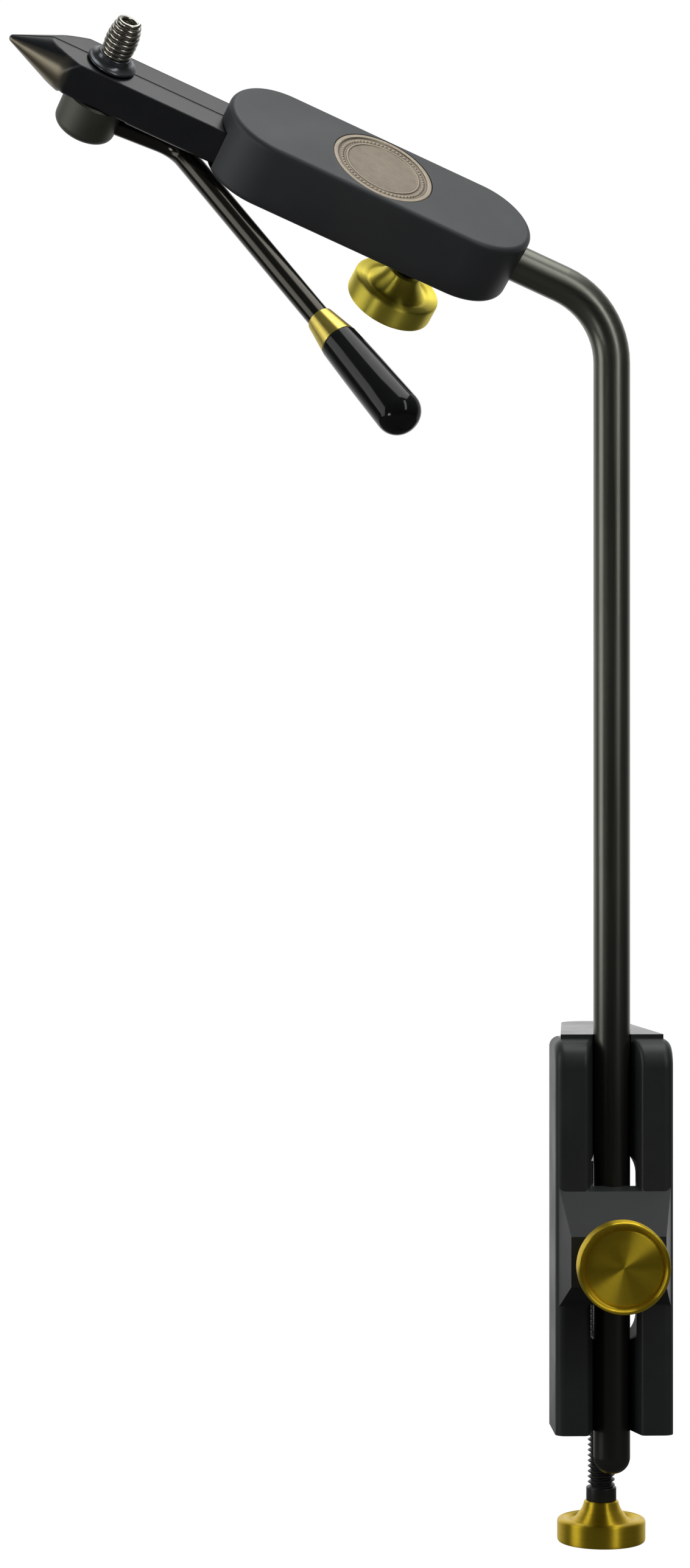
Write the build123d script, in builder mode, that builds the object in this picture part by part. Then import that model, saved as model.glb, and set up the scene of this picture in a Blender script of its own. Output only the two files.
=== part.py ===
"""A fly tying vise: a C-clamp carries a bent stem, the stem carries a head that can be spun,
and the head holds two long jaws that a lever and its cam push open.

Millimetres. The origin lies on the clamp screw's axis, in the underside of the upper arm, where
the table edge seats. +X is to the right and +Z up, and the tyer sits on the -Y side."""
import os
from math import asin, ceil, cos, pi, radians, sin, sqrt, tan

from build123d import *

# Fits
RUNNING_FIT = 0.05
PRESS_FIT = 0.005
BODY_GAP = 0.3

# Stem rod
STEM_DIA = 9.525
STEM_TO_SCREW = 24.0
STEM_BELOW_SEAT = 105.2
CORNER_HEIGHT = 197.85
BEND_RADIUS = 22.0
NECK_RISE = 23.0
NECK_SWING = 8.2
STEM_IN_HEAD = 42.0
STEM_GROOVE_DEPTH = 0.8
STEM_TIP_FLAT = 0.4

# Clamp body
BODY_WIDTH = 30.6
BODY_FRONT = 7.7
BODY_BACK = 10.0
SEAT_THICKNESS = 9.0
BODY_BELOW_SEAT = 94.0
BODY_EDGE = 2.6
SHOULDER_RADIUS = 7.0
STEP_HEIGHT = 1.15
GROOVE_MOUTH = 14.0
GROOVE_EDGE = 1.2
ARM_ROOT_WIDTH = 26.8
ARM_TIP_WIDTH = 16.3
ARM_PAST_SCREW = 24.5
ARM_CORNER = 6.5
LOWER_ARM_THICKNESS = 15.0
LOWER_ARM_PAST_SCREW = 11.0
WINDOW_WIDTH = 14.8
WINDOW_HEIGHT = 51.2
WINDOW_ABOVE_LOCK = 1.5
WINDOW_AHEAD_OF_STEM = 4.0
BOSS_DEPTH = 8.0
BOSS_FLAT_HEIGHT = 12.8
BOSS_FLAT_WIDTH = 24.4
BOSS_UPPER_RAMP = 10.6
BOSS_LOWER_RAMP = 5.8
BOSS_INSET = 0.3
WEB_RISE = 2.1
LOCK_BELOW_SEAT = 48.0

# Brass thumb knobs
KNOB_DIA = 23.6
KNOB_RIM = 6.0
KNOB_NECK = 4.7
KNOB_NECK_TOP_DIA = 9.1
KNOB_NECK_ROOT_DIA = 15.8
KNOB_LIP = 1.9
KNOB_DISH = 0.9
KNOB_EDGE = 0.5

# Lock screws of stem and head
LOCK_SCREW_DIA = 6.35
LOCK_SCREW_SHOWING = 2.0
LOCK_TIP_DIA = 4.4
LOCK_TIP_LENGTH = 1.6
SCREW_IN_KNOB = 7.5

# Clamp screw and swivel pad
CLAMP_SCREW_DIA = 7.2
CLAMP_SCREW_BELOW_BODY = 19.5
CLAMP_COLLAR_DIA = 8.0
CLAMP_COLLAR_LENGTH = 3.7
PAD_DIA = 14.0
PAD_THICKNESS = 6.0
PAD_BELOW_SEAT = 26.0
PAD_EDGE = 0.8
PAD_FLOOR = 2.0
SPIGOT_DIA = 5.0
RING_WIRE = 0.8
RING_BITE = 0.5

# Head
HEAD_FROM_CORNER = 27.4
HEAD_LENGTH = 84.6
HEAD_WIDTH = 30.6
HEAD_THICKNESS = 17.5
HEAD_EDGE = 1.5
HEAD_ROLL = 41.5
HEAD_KNOB_FROM_REAR = 24.8
HEAD_SCREW_SHOWING = 6.9
MEDALLION_DIA = 27.7
MEDALLION_DEPTH = 1.4
MEDALLION_RIM = 1.5
MEDALLION_RELIEF = 0.35

# Jaws
JAW_REACH = 56.9
JAW_HALF_WIDTH = 7.6
JAW_TOP = 3.0
JAW_HEIGHT = 10.4
JAW_LOWER_EDGE = 1.9
JAW_UPPER_EDGE = 0.35
NOSE_HALF_ANGLE = 24.0
NOSE_TIP_RADIUS = 1.0
PIVOT_IN_HEAD = 12.0
PIVOT_OFFSET = 4.7
PIVOT_PIN_DIA = 3.0
PIN_PAST_JAW = 2.5
TAIL_LENGTH = 20.0
TAIL_GAP = 3.6
RELIEF_PAST_PIVOT = 1.5
JAW_OPENING_AT_CAM = 0.85
JAW_SPRING_FROM_PIVOT = 13.0
JAW_SPRING_DIA = 5.4
JAW_SPRING_WIRE = 0.8
JAW_SPRING_TURNS = 5
JAW_SPRING_SOCKET = 2.8

# Cam shaft, hub and lever
CAM_FROM_HEAD = 31.0
CAM_DIA = 8.4
CAM_FLATS = 6.0
HUB_DIA = 16.0
HUB_HEIGHT = 10.7
HUB_LOWER_EDGE = 2.4
HUB_UPPER_EDGE = 0.5
SPOTFACE_DIA = 23.0
SPOTFACE_DEPTH = 0.9
JOURNAL_DIA = 6.4
JOURNAL_LENGTH = 8.4
SET_SCREW_DIA = 3.0
SET_SCREW_KEY = 1.5
SET_SCREW_SOCKET = 1.5
ROD_DIA = 6.0
ROD_BELOW_JAW = 4.9
ROD_TO_BEND = 23.98
ROD_AWAY = 7.0
ROD_TURN = 52.9
ROD_BEND_RADIUS = 9.0
ROD_IN_HUB = 3.4
BEND_TO_FERRULE = 68.2
FERRULE_LENGTH = 8.5
FERRULE_SMALL_DIA = 7.0
FERRULE_BIG_DIA = 9.7
GRIP_LENGTH = 31.7
GRIP_NEAR_DIA = 9.9
GRIP_FAR_DIA = 12.0
GRIP_END_RADIUS = 5.2
ROD_IN_GRIP = 22.0

# Spring collar and material spring
COLLAR_BASE_DIA = 12.8
COLLAR_TOP_DIA = 8.6
COLLAR_HEIGHT = 2.9
COLLAR_BAND = 0.7
COLLAR_RECESS = 2.0
COLLAR_RECESS_DIA = 7.4
POST_DIA = 4.0
SPRING_WIRE = 0.7
SPRING_FOOT_DIA = 6.5
SPRING_BELLY_DIA = 8.2
SPRING_HEAD_DIA = 5.8
SPRING_TURNS = 9
SPRING_PITCH = 1.15
FOOT_BEND = 1.25
HEADING_STEP = 0.01

# Places worked out from the sizes above, in the clamp's own axes
STEM_RADIUS = STEM_DIA / 2
STEM_Y = -STEM_TO_SCREW
FRONT_Y = STEM_Y - BODY_FRONT
BACK_Y = STEM_Y + BODY_BACK
BLOCK_TOP = SEAT_THICKNESS - STEP_HEIGHT
BODY_BOTTOM = -BODY_BELOW_SEAT
BOSS_Y = FRONT_Y - BOSS_DEPTH
ARM_ROOT_Y = FRONT_Y + SHOULDER_RADIUS
LOCK_Z = -LOCK_BELOW_SEAT
BOSS_HIGH = LOCK_Z + BOSS_FLAT_HEIGHT / 2 + BOSS_UPPER_RAMP
BOSS_LOW = LOCK_Z - BOSS_FLAT_HEIGHT / 2 - BOSS_LOWER_RAMP
STEM_BORE_RADIUS = STEM_RADIUS + RUNNING_FIT
KNOB_HEIGHT = KNOB_NECK + KNOB_RIM
PAD_TOP = -PAD_BELOW_SEAT
PAD_BOTTOM = PAD_TOP - PAD_THICKNESS
COLLAR_TOP_Z = BODY_BOTTOM - CLAMP_SCREW_BELOW_BODY
CLAMP_KNOB_Z = COLLAR_TOP_Z - CLAMP_COLLAR_LENGTH

# Places in the head's own axes: x from the stem's corner towards the jaw tip, z out of the broad face
rise = radians(NECK_RISE)
swing = radians(NECK_SWING)
roll = radians(HEAD_ROLL)
corner = Vector(0, STEM_Y, CORNER_HEIGHT)
along = Vector(-cos(rise) * cos(swing), -cos(rise) * sin(swing), sin(rise))
upright = Vector(sin(rise) * cos(swing), sin(rise) * sin(swing), cos(rise))
facing = upright * cos(roll) + upright.cross(along) * sin(roll)
HEAD_PLANE = Plane(origin=corner, x_dir=along, z_dir=facing)

HEAD_FRONT = HEAD_FROM_CORNER + HEAD_LENGTH
HEAD_MIDDLE = HEAD_FROM_CORNER + HEAD_LENGTH / 2
HEAD_HALF = HEAD_THICKNESS / 2
STEM_END = HEAD_FROM_CORNER + STEM_IN_HEAD
HEAD_KNOB_X = HEAD_FROM_CORNER + HEAD_KNOB_FROM_REAR
JAW_BOTTOM = JAW_TOP - JAW_HEIGHT
JAW_AXIS_Z = JAW_TOP - JAW_HEIGHT / 2
JAW_TIP = HEAD_FRONT + JAW_REACH
CAM_X = HEAD_FRONT + CAM_FROM_HEAD
PIVOT_X = HEAD_FRONT - PIVOT_IN_HEAD
TAIL_END = PIVOT_X - TAIL_LENGTH
JAW_SPRING_X = PIVOT_X - JAW_SPRING_FROM_PIVOT
JAW_ANGLE = asin(JAW_OPENING_AT_CAM / (CAM_X - PIVOT_X))
HUB_TOP = JAW_BOTTOM + SPOTFACE_DEPTH - BODY_GAP
HUB_BOTTOM = HUB_TOP - HUB_HEIGHT
ROD_Z = JAW_BOTTOM - ROD_BELOW_JAW
COLLAR_FOOT = JAW_TOP + BODY_GAP
COLLAR_TOP = COLLAR_FOOT + COLLAR_HEIGHT
COLLAR_FLOOR = COLLAR_TOP - COLLAR_RECESS
POCKET_GAP = BODY_GAP + (HEAD_FRONT - PIVOT_X) * sin(JAW_ANGLE)
LEVER_PLANE = Plane(HEAD_PLANE.location * Location((CAM_X, 0, ROD_Z), (0, 0, 180 + ROD_AWAY)))
ROD_START = HUB_DIA / 2 - ROD_IN_HUB
GRIP_START = BEND_TO_FERRULE + FERRULE_LENGTH
GRIP_END = GRIP_START + GRIP_LENGTH
ROD_END = GRIP_START + ROD_IN_GRIP


def head_plane(x, y, z, turn=(0, 0, 0)):
    """A plane in the head's axes, turned by angles about its own x, y and z."""
    return Plane(HEAD_PLANE.location * Location((x, y, z), turn))


def profile_plane(base):
    """The plane in which a turned piece is drawn: x outward from the axis of base, y along it."""
    return Plane(base.location * Location((0, 0, 0), (90, 0, 0)))


def turned(base, points):
    """A solid turned about the axis of base from corners given as (radius, distance along)."""
    with BuildPart() as piece:
        with BuildSketch(profile_plane(base)):
            with BuildLine():
                Polyline(*points, close=True)
            make_face()
        revolve(axis=Axis(base.origin, base.z_dir))
    return piece.part


def knob(base):
    """A smooth brass thumb knob: a conical neck that starts at base and a rim with two dished faces."""
    rim = KNOB_DIA / 2
    bore = LOCK_SCREW_DIA / 2 + PRESS_FIT
    inner = rim - KNOB_LIP
    return turned(base, [
        (bore, 0), (KNOB_NECK_TOP_DIA / 2, 0), (KNOB_NECK_ROOT_DIA / 2, KNOB_NECK),
        (inner - KNOB_DISH, KNOB_NECK + KNOB_DISH), (inner, KNOB_NECK), (rim - KNOB_EDGE, KNOB_NECK),
        (rim, KNOB_NECK + KNOB_EDGE), (rim, KNOB_HEIGHT - KNOB_EDGE), (rim - KNOB_EDGE, KNOB_HEIGHT),
        (inner, KNOB_HEIGHT), (inner - KNOB_DISH, KNOB_HEIGHT - KNOB_DISH), (0, KNOB_HEIGHT - KNOB_DISH),
        (0, SCREW_IN_KNOB), (bore, SCREW_IN_KNOB),
    ])


def lock_screw(base, tip):
    """A thumb screw's shank: from inside the knob that starts at base to a smaller tip."""
    shank = LOCK_SCREW_DIA / 2
    point = LOCK_TIP_DIA / 2
    shoulder = LOCK_TIP_LENGTH - tip
    return turned(base, [
        (0, SCREW_IN_KNOB), (shank, SCREW_IN_KNOB), (shank, shoulder + shank - point), (point, shoulder),
        (point, -tip), (0, -tip),
    ])


def biarc(start, leave, end, arrive):
    """Two arcs that run from start to end and touch the directions leave and arrive there."""
    span = end - start
    both = leave + arrive
    a = 2 * (1 - leave.dot(arrive))
    b = 2 * span.dot(both)
    reach = (sqrt(b * b + 4 * a * span.dot(span)) - b) / (2 * a)
    first = start + leave * reach
    last = end - arrive * reach
    middle = (first + last) / 2
    return [
        Edge.make_tangent_arc(start, leave, middle),
        Edge.make_tangent_arc(middle, (last - first).normalized(), end),
    ]


def coil_path(base, foot, radius_at, turns, pitch, wire):
    """A spring's centre line in the axes of base: it stands up from foot, winds and runs out straight."""
    quarters = 4 * turns
    bend = FOOT_BEND * wire

    def place(quarter):
        angle = quarter * pi / 2
        r = radius_at(quarter / quarters)
        return Vector(r * cos(angle), r * sin(angle), foot + wire + bend + quarter * pitch / 4)

    def heading(quarter):
        return (place(quarter + HEADING_STEP) - place(quarter - HEADING_STEP)).normalized()

    back = place(-bend / radius_at(0) / (pi / 2))
    stand = Vector(back.X, back.Y, foot)
    rise = Vector(back.X, back.Y, foot + wire)
    edges = [Edge.make_line(stand, rise)]
    edges += biarc(rise, Vector(0, 0, 1), place(0), heading(0))
    for quarter in range(quarters):
        edges += biarc(place(quarter), heading(quarter), place(quarter + 1), heading(quarter + 1))
    end = place(quarters)
    edges.append(Edge.make_line(end, end + heading(quarters) * wire))
    return base.from_local_coords(Wire(edges))


def least_gap(path, wire, pitch):
    """The least clear distance between a coil's neighbouring turns, measured on points of its path."""
    step = wire / 4
    points = [path.position_at(i * step / path.length) for i in range(int(path.length / step))]
    apart = ceil(4 * pitch / step)
    nearest = min((p - q).length for i, p in enumerate(points) for q in points[i + apart:])
    return nearest - wire


# The clamp body: a tall block with a groove for the stem, two arms and a boss for the lock screw
with BuildPart() as clamp_body:
    with BuildSketch(Plane.XY.offset(BODY_BOTTOM)):
        with Locations((0, FRONT_Y)):
            Rectangle(BODY_WIDTH, BODY_FRONT + BODY_BACK, align=(Align.CENTER, Align.MIN))
    extrude(amount=BLOCK_TOP - BODY_BOTTOM)
    top_edges = clamp_body.faces().sort_by(Axis.Z)[-1].edges()
    fillet(top_edges.sort_by(Axis.Y)[0], SHOULDER_RADIUS)
    side_edges = clamp_body.faces().filter_by(Axis.X).edges()
    fillet(side_edges.sort_by(Axis.Z)[2:].sort_by(Axis.Y)[:-2], BODY_EDGE)
    with BuildSketch(Plane.XY):
        with BuildLine():
            Polyline(
                (-ARM_ROOT_WIDTH / 2, ARM_ROOT_Y), (ARM_ROOT_WIDTH / 2, ARM_ROOT_Y),
                (ARM_TIP_WIDTH / 2, ARM_PAST_SCREW), (-ARM_TIP_WIDTH / 2, ARM_PAST_SCREW), close=True,
            )
        upper_arm = make_face()
        fillet(upper_arm.vertices().sort_by(Axis.Y)[-2:], ARM_CORNER)
    extrude(amount=SEAT_THICKNESS)
    with BuildSketch(Plane.XY.offset(BODY_BOTTOM)):
        with BuildLine():
            Polyline(
                (-LOWER_ARM_PAST_SCREW, 0), (-BODY_WIDTH / 2, BACK_Y), (BODY_WIDTH / 2, BACK_Y),
                (LOWER_ARM_PAST_SCREW, 0), close=True,
            )
        make_face()
        Circle(LOWER_ARM_PAST_SCREW)
    extrude(amount=LOWER_ARM_THICKNESS)
    with BuildSketch(Plane.XY.offset(BODY_BOTTOM)) as groove:
        with BuildLine():
            Polyline(
                (-STEM_BORE_RADIUS, STEM_Y), (STEM_BORE_RADIUS, STEM_Y), (GROOVE_MOUTH / 2, FRONT_Y),
                (-GROOVE_MOUTH / 2, FRONT_Y), close=True,
            )
        make_face()
    extrude(amount=SEAT_THICKNESS - BODY_BOTTOM, mode=Mode.SUBTRACT)
    front_edges = clamp_body.faces().filter_by(Axis.Y).sort_by(Axis.Y)[:2].edges().filter_by(Axis.Z)
    fillet(front_edges.sort_by(Axis.X)[1:3], GROOVE_EDGE)
    boss_root = 1 + BODY_EDGE / BOSS_DEPTH
    root_high = LOCK_Z + BOSS_FLAT_HEIGHT / 2 + BOSS_UPPER_RAMP * boss_root
    root_low = LOCK_Z - BOSS_FLAT_HEIGHT / 2 - BOSS_LOWER_RAMP * boss_root
    with BuildSketch(Plane.XZ.offset(-FRONT_Y - BODY_EDGE)):
        with Locations((0, (root_high + root_low) / 2)):
            Rectangle(BODY_WIDTH - 2 * BOSS_INSET, root_high - root_low)
    with BuildSketch(Plane.XZ.offset(-BOSS_Y)):
        with Locations((0, LOCK_Z)):
            Rectangle(BOSS_FLAT_WIDTH, BOSS_FLAT_HEIGHT)
    loft()
    extrude(groove.sketch, amount=SEAT_THICKNESS - BODY_BOTTOM, mode=Mode.SUBTRACT)
    with BuildSketch(Plane.YZ):
        with BuildLine():
            Polyline(
                (FRONT_Y, BOSS_LOW), (STEM_Y, BOSS_LOW), (STEM_Y, BOSS_HIGH + WEB_RISE), (FRONT_Y, BOSS_HIGH),
                close=True,
            )
        make_face()
    extrude(amount=GROOVE_MOUTH / 2, both=True)
    with BuildSketch(Plane.XZ.offset(-BACK_Y)):
        with Locations((0, LOCK_Z + WINDOW_ABOVE_LOCK)):
            SlotOverall(WINDOW_HEIGHT, WINDOW_WIDTH, rotation=90)
    extrude(amount=BODY_BACK + WINDOW_AHEAD_OF_STEM, mode=Mode.SUBTRACT)
    with BuildSketch(Plane.XY.offset(BODY_BOTTOM)):
        with Locations((0, STEM_Y)):
            Circle(STEM_BORE_RADIUS)
    extrude(amount=SEAT_THICKNESS - BODY_BOTTOM, mode=Mode.SUBTRACT)
    with BuildSketch(Plane.XY.offset(BODY_BOTTOM)):
        Circle(CLAMP_SCREW_DIA / 2 + RUNNING_FIT)
    extrude(amount=LOWER_ARM_THICKNESS, mode=Mode.SUBTRACT)
    with BuildSketch(Plane.XZ.offset(-BOSS_Y)):
        with Locations((0, LOCK_Z)):
            Circle(LOCK_SCREW_DIA / 2 + RUNNING_FIT)
    extrude(amount=-(BOSS_DEPTH + BODY_FRONT), mode=Mode.SUBTRACT)
clamp_body.part.label = "clamp_body"

# The stem: a round rod bent once, rounded below and grooved where the head's screw holds it
with BuildPart() as stem:
    with BuildLine() as stem_line:
        FilletPolyline(
            (0, STEM_Y, -STEM_BELOW_SEAT), corner, corner + along * STEM_END, radius=BEND_RADIUS
        )
    with BuildSketch(Plane.XY.offset(-STEM_BELOW_SEAT)):
        with Locations((0, STEM_Y)):
            Circle(STEM_RADIUS)
    sweep(path=stem_line.line)
    fillet(stem.edges().sort_by(Axis.Z)[0], STEM_RADIUS - STEM_TIP_FLAT)
    chamfer(stem.edges().sort_by(Axis(corner, along))[-1], STEM_GROOVE_DEPTH)
    with BuildSketch(profile_plane(head_plane(HEAD_KNOB_X, 0, 0, (0, 90, 0)))):
        with Locations((STEM_RADIUS - STEM_GROOVE_DEPTH / 2, 0)):
            Rectangle(STEM_GROOVE_DEPTH, LOCK_TIP_DIA + 2 * BODY_GAP)
    revolve(axis=Axis(corner, along), mode=Mode.SUBTRACT)
stem.part.label = "stem"

# The stem's lock: a thumb screw through the boss that presses on the rod
LOCK_KNOB_PLANE = Plane(origin=(0, BOSS_Y - LOCK_SCREW_SHOWING, LOCK_Z), x_dir=(1, 0, 0), z_dir=(0, -1, 0))
with BuildPart() as stem_lock_knob:
    add(knob(LOCK_KNOB_PLANE))
stem_lock_knob.part.label = "stem_lock_knob"

with BuildPart() as stem_lock_screw:
    add(lock_screw(LOCK_KNOB_PLANE, LOCK_SCREW_SHOWING + BOSS_DEPTH + BODY_FRONT - STEM_RADIUS - RUNNING_FIT))
stem_lock_screw.part.label = "stem_lock_screw"

# The clamp screw: knob below, thread through the lower arm, spigot held in the swivel pad by a snap ring
CLAMP_KNOB_PLANE = Plane(origin=(0, 0, CLAMP_KNOB_Z), x_dir=(1, 0, 0), z_dir=(0, 0, -1))
shank = CLAMP_SCREW_DIA / 2
spigot = SPIGOT_DIA / 2
spigot_top = PAD_TOP - PAD_FLOOR - BODY_GAP
ring_low = spigot_top - 2 * RING_WIRE
ring_high = ring_low + RING_WIRE
with BuildPart() as clamp_screw:
    add(turned(Plane.XY, [
        (0, CLAMP_KNOB_Z - SCREW_IN_KNOB), (LOCK_SCREW_DIA / 2, CLAMP_KNOB_Z - SCREW_IN_KNOB),
        (LOCK_SCREW_DIA / 2, CLAMP_KNOB_Z), (CLAMP_COLLAR_DIA / 2, CLAMP_KNOB_Z),
        (CLAMP_COLLAR_DIA / 2, COLLAR_TOP_Z), (shank, COLLAR_TOP_Z), (shank, PAD_BOTTOM),
        (spigot, PAD_BOTTOM), (spigot, ring_low), (spigot - RING_BITE, ring_low),
        (spigot - RING_BITE, ring_high), (spigot, ring_high), (spigot, spigot_top), (0, spigot_top),
    ]))
clamp_screw.part.label = "clamp_screw"

with BuildPart() as clamp_knob:
    add(knob(CLAMP_KNOB_PLANE))
clamp_knob.part.label = "clamp_knob"

socket = spigot + RUNNING_FIT
ring_outside = spigot + RING_BITE
with BuildPart() as swivel_pad:
    add(turned(Plane.XY, [
        (0, PAD_TOP), (PAD_DIA / 2 - PAD_EDGE, PAD_TOP), (PAD_DIA / 2, PAD_TOP - PAD_EDGE),
        (PAD_DIA / 2, PAD_BOTTOM), (socket, PAD_BOTTOM), (socket, ring_low - RUNNING_FIT),
        (ring_outside + RUNNING_FIT, ring_low - RUNNING_FIT),
        (ring_outside + RUNNING_FIT, ring_high + RUNNING_FIT), (socket, ring_high + RUNNING_FIT),
        (socket, PAD_TOP - PAD_FLOOR), (0, PAD_TOP - PAD_FLOOR),
    ]))
swivel_pad.part.label = "swivel_pad"

with BuildPart() as pad_snap_ring:
    with BuildSketch(Plane.XY.offset(ring_low + RUNNING_FIT)):
        Circle(ring_outside)
        Circle(spigot - RING_BITE + RUNNING_FIT, mode=Mode.SUBTRACT)
        with Locations((spigot, 0)):
            Rectangle(2 * RING_WIRE + RING_BITE, RING_WIRE, mode=Mode.SUBTRACT)
    extrude(amount=RING_WIRE - 2 * RUNNING_FIT)
pad_snap_ring.part.label = "pad_snap_ring"

# The head: a stadium block bored for the stem, pocketed for the jaws and recessed for the medallion
head_axis = Axis(corner, facing)
with BuildPart() as head_body:
    with BuildSketch(head_plane(HEAD_MIDDLE, 0, -HEAD_HALF)):
        SlotOverall(HEAD_LENGTH, HEAD_WIDTH)
    extrude(amount=HEAD_THICKNESS)
    broad_faces = head_body.faces().sort_by(head_axis)
    fillet(broad_faces[0].edges() + broad_faces[-1].edges(), HEAD_EDGE)
    with BuildSketch(head_plane(HEAD_FROM_CORNER - STEM_RADIUS, 0, 0, (0, 90, 0))):
        Circle(STEM_BORE_RADIUS)
    extrude(amount=STEM_RADIUS + STEM_IN_HEAD + BODY_GAP, mode=Mode.SUBTRACT)
    with BuildSketch(head_plane(HEAD_KNOB_X, 0, -HEAD_HALF)):
        Circle(LOCK_SCREW_DIA / 2 + RUNNING_FIT)
    extrude(amount=HEAD_HALF, mode=Mode.SUBTRACT)
    with BuildSketch(head_plane(HEAD_MIDDLE, 0, HEAD_HALF)):
        Circle(MEDALLION_DIA / 2 + RUNNING_FIT)
    extrude(amount=-MEDALLION_DEPTH, mode=Mode.SUBTRACT)
    with BuildSketch(head_plane(TAIL_END - BODY_GAP, 0, JAW_BOTTOM - BODY_GAP)):
        Rectangle(
            HEAD_FRONT - TAIL_END + 2 * BODY_GAP, 2 * (JAW_HALF_WIDTH + POCKET_GAP),
            align=(Align.MIN, Align.CENTER),
        )
    extrude(amount=JAW_HEIGHT + 2 * BODY_GAP, mode=Mode.SUBTRACT)
    with BuildSketch(head_plane(PIVOT_X, 0, -HEAD_HALF)):
        with Locations((0, PIVOT_OFFSET), (0, -PIVOT_OFFSET)):
            Circle(PIVOT_PIN_DIA / 2 + PRESS_FIT)
    extrude(amount=HEAD_HALF + JAW_TOP + PIN_PAST_JAW, mode=Mode.SUBTRACT)
head_body.part.label = "head_body"

with BuildPart() as jaw_pivot_pins:
    with BuildSketch(head_plane(PIVOT_X, 0, -HEAD_HALF)):
        with Locations((0, PIVOT_OFFSET), (0, -PIVOT_OFFSET)):
            Circle(PIVOT_PIN_DIA / 2)
    extrude(amount=HEAD_HALF + JAW_TOP + PIN_PAST_JAW)
jaw_pivot_pins.part.label = "jaw_pivot_pins"

# The medallion: a plain bronze disc with a raised rim, let into the broad face
medal = MEDALLION_DIA / 2
with BuildPart() as medallion:
    add(turned(head_plane(HEAD_MIDDLE, 0, HEAD_HALF), [
        (0, -MEDALLION_DEPTH), (medal, -MEDALLION_DEPTH), (medal, 0), (medal - MEDALLION_RIM, 0),
        (medal - MEDALLION_RIM - MEDALLION_RELIEF, -MEDALLION_RELIEF), (0, -MEDALLION_RELIEF),
    ]))
medallion.part.label = "medallion"

# The head's lock: a thumb screw from below whose tip runs in the stem's groove
HEAD_KNOB_PLANE = head_plane(HEAD_KNOB_X, 0, -HEAD_HALF - HEAD_SCREW_SHOWING, (180, 0, 0))
with BuildPart() as head_lock_knob:
    add(knob(HEAD_KNOB_PLANE))
head_lock_knob.part.label = "head_lock_knob"

with BuildPart() as head_lock_screw:
    groove_floor = STEM_RADIUS - STEM_GROOVE_DEPTH
    add(lock_screw(HEAD_KNOB_PLANE, HEAD_SCREW_SHOWING + HEAD_HALF - groove_floor - RUNNING_FIT))
head_lock_screw.part.label = "head_lock_screw"


def outermost(edges, direction):
    """The edge that lies furthest in a direction."""
    return edges.sort_by(Axis(corner, direction))[-1]


def jaw(side):
    """One half of the jaws, on the tyer's side (1) or the far side (-1) of the split."""
    outward = HEAD_PLANE.y_dir * side
    nose = radians(NOSE_HALF_ANGLE)
    nose_widest = 2 * JAW_HALF_WIDTH
    ball = JAW_TIP - NOSE_TIP_RADIUS
    half_way = (nose + pi / 2) / 2
    nose_edge = (NOSE_TIP_RADIUS * cos(nose), ball + NOSE_TIP_RADIUS * sin(nose))
    nose_root = (nose_widest, ball + NOSE_TIP_RADIUS / sin(nose) - nose_widest / tan(nose))
    with BuildPart() as half:
        with BuildSketch(head_plane(TAIL_END, 0, JAW_BOTTOM)):
            with Locations((0, side * JAW_HALF_WIDTH / 2)):
                Rectangle(JAW_TIP - TAIL_END, JAW_HALF_WIDTH, align=(Align.MIN, Align.CENTER))
        extrude(amount=JAW_HEIGHT)
        fillet(outermost(half.edges().filter_by(Axis(corner, along)), outward - facing), JAW_LOWER_EDGE)
        fillet(outermost(half.edges().filter_by(Axis(corner, along)), outward + facing), JAW_UPPER_EDGE)
        with BuildSketch(profile_plane(head_plane(0, 0, JAW_AXIS_Z, (0, 90, 0)))):
            with BuildLine():
                Polyline((0, JAW_TIP), (0, TAIL_END), (nose_widest, TAIL_END), nose_root, nose_edge)
                ThreePointArc(
                    nose_edge,
                    (NOSE_TIP_RADIUS * cos(half_way), ball + NOSE_TIP_RADIUS * sin(half_way)),
                    (0, JAW_TIP),
                )
            make_face()
        revolve(axis=Axis(head_plane(0, 0, JAW_AXIS_Z).origin, along), mode=Mode.INTERSECT)
        with BuildSketch(head_plane(CAM_X, 0, JAW_BOTTOM)):
            Rectangle(CAM_DIA + 2 * BODY_GAP, CAM_FLATS + 2 * RUNNING_FIT)
        extrude(amount=JAW_HEIGHT, mode=Mode.SUBTRACT)
        with BuildSketch(head_plane(CAM_X, 0, JAW_BOTTOM)):
            Circle(SPOTFACE_DIA / 2)
        extrude(amount=SPOTFACE_DEPTH, mode=Mode.SUBTRACT)
        with BuildSketch(head_plane(PIVOT_X, 0, JAW_BOTTOM)):
            with Locations((0, side * PIVOT_OFFSET)):
                Circle(PIVOT_PIN_DIA / 2 + RUNNING_FIT)
            with Locations((RELIEF_PAST_PIVOT, 0)):
                Rectangle(TAIL_LENGTH + RELIEF_PAST_PIVOT, TAIL_GAP, align=(Align.MAX, Align.CENTER))
        extrude(amount=JAW_HEIGHT, mode=Mode.SUBTRACT)
        with BuildSketch(head_plane(JAW_SPRING_X, side * TAIL_GAP / 2, JAW_AXIS_Z, (-90 * side, 0, 0))):
            Circle(JAW_SPRING_DIA / 2 + BODY_GAP)
        extrude(amount=JAW_SPRING_SOCKET, mode=Mode.SUBTRACT)
    return half.part


with BuildPart() as near_jaw:
    add(jaw(1))
near_jaw.part.label = "near_jaw"

with BuildPart() as far_jaw:
    add(jaw(-1))
far_jaw.part.label = "far_jaw"

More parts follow.
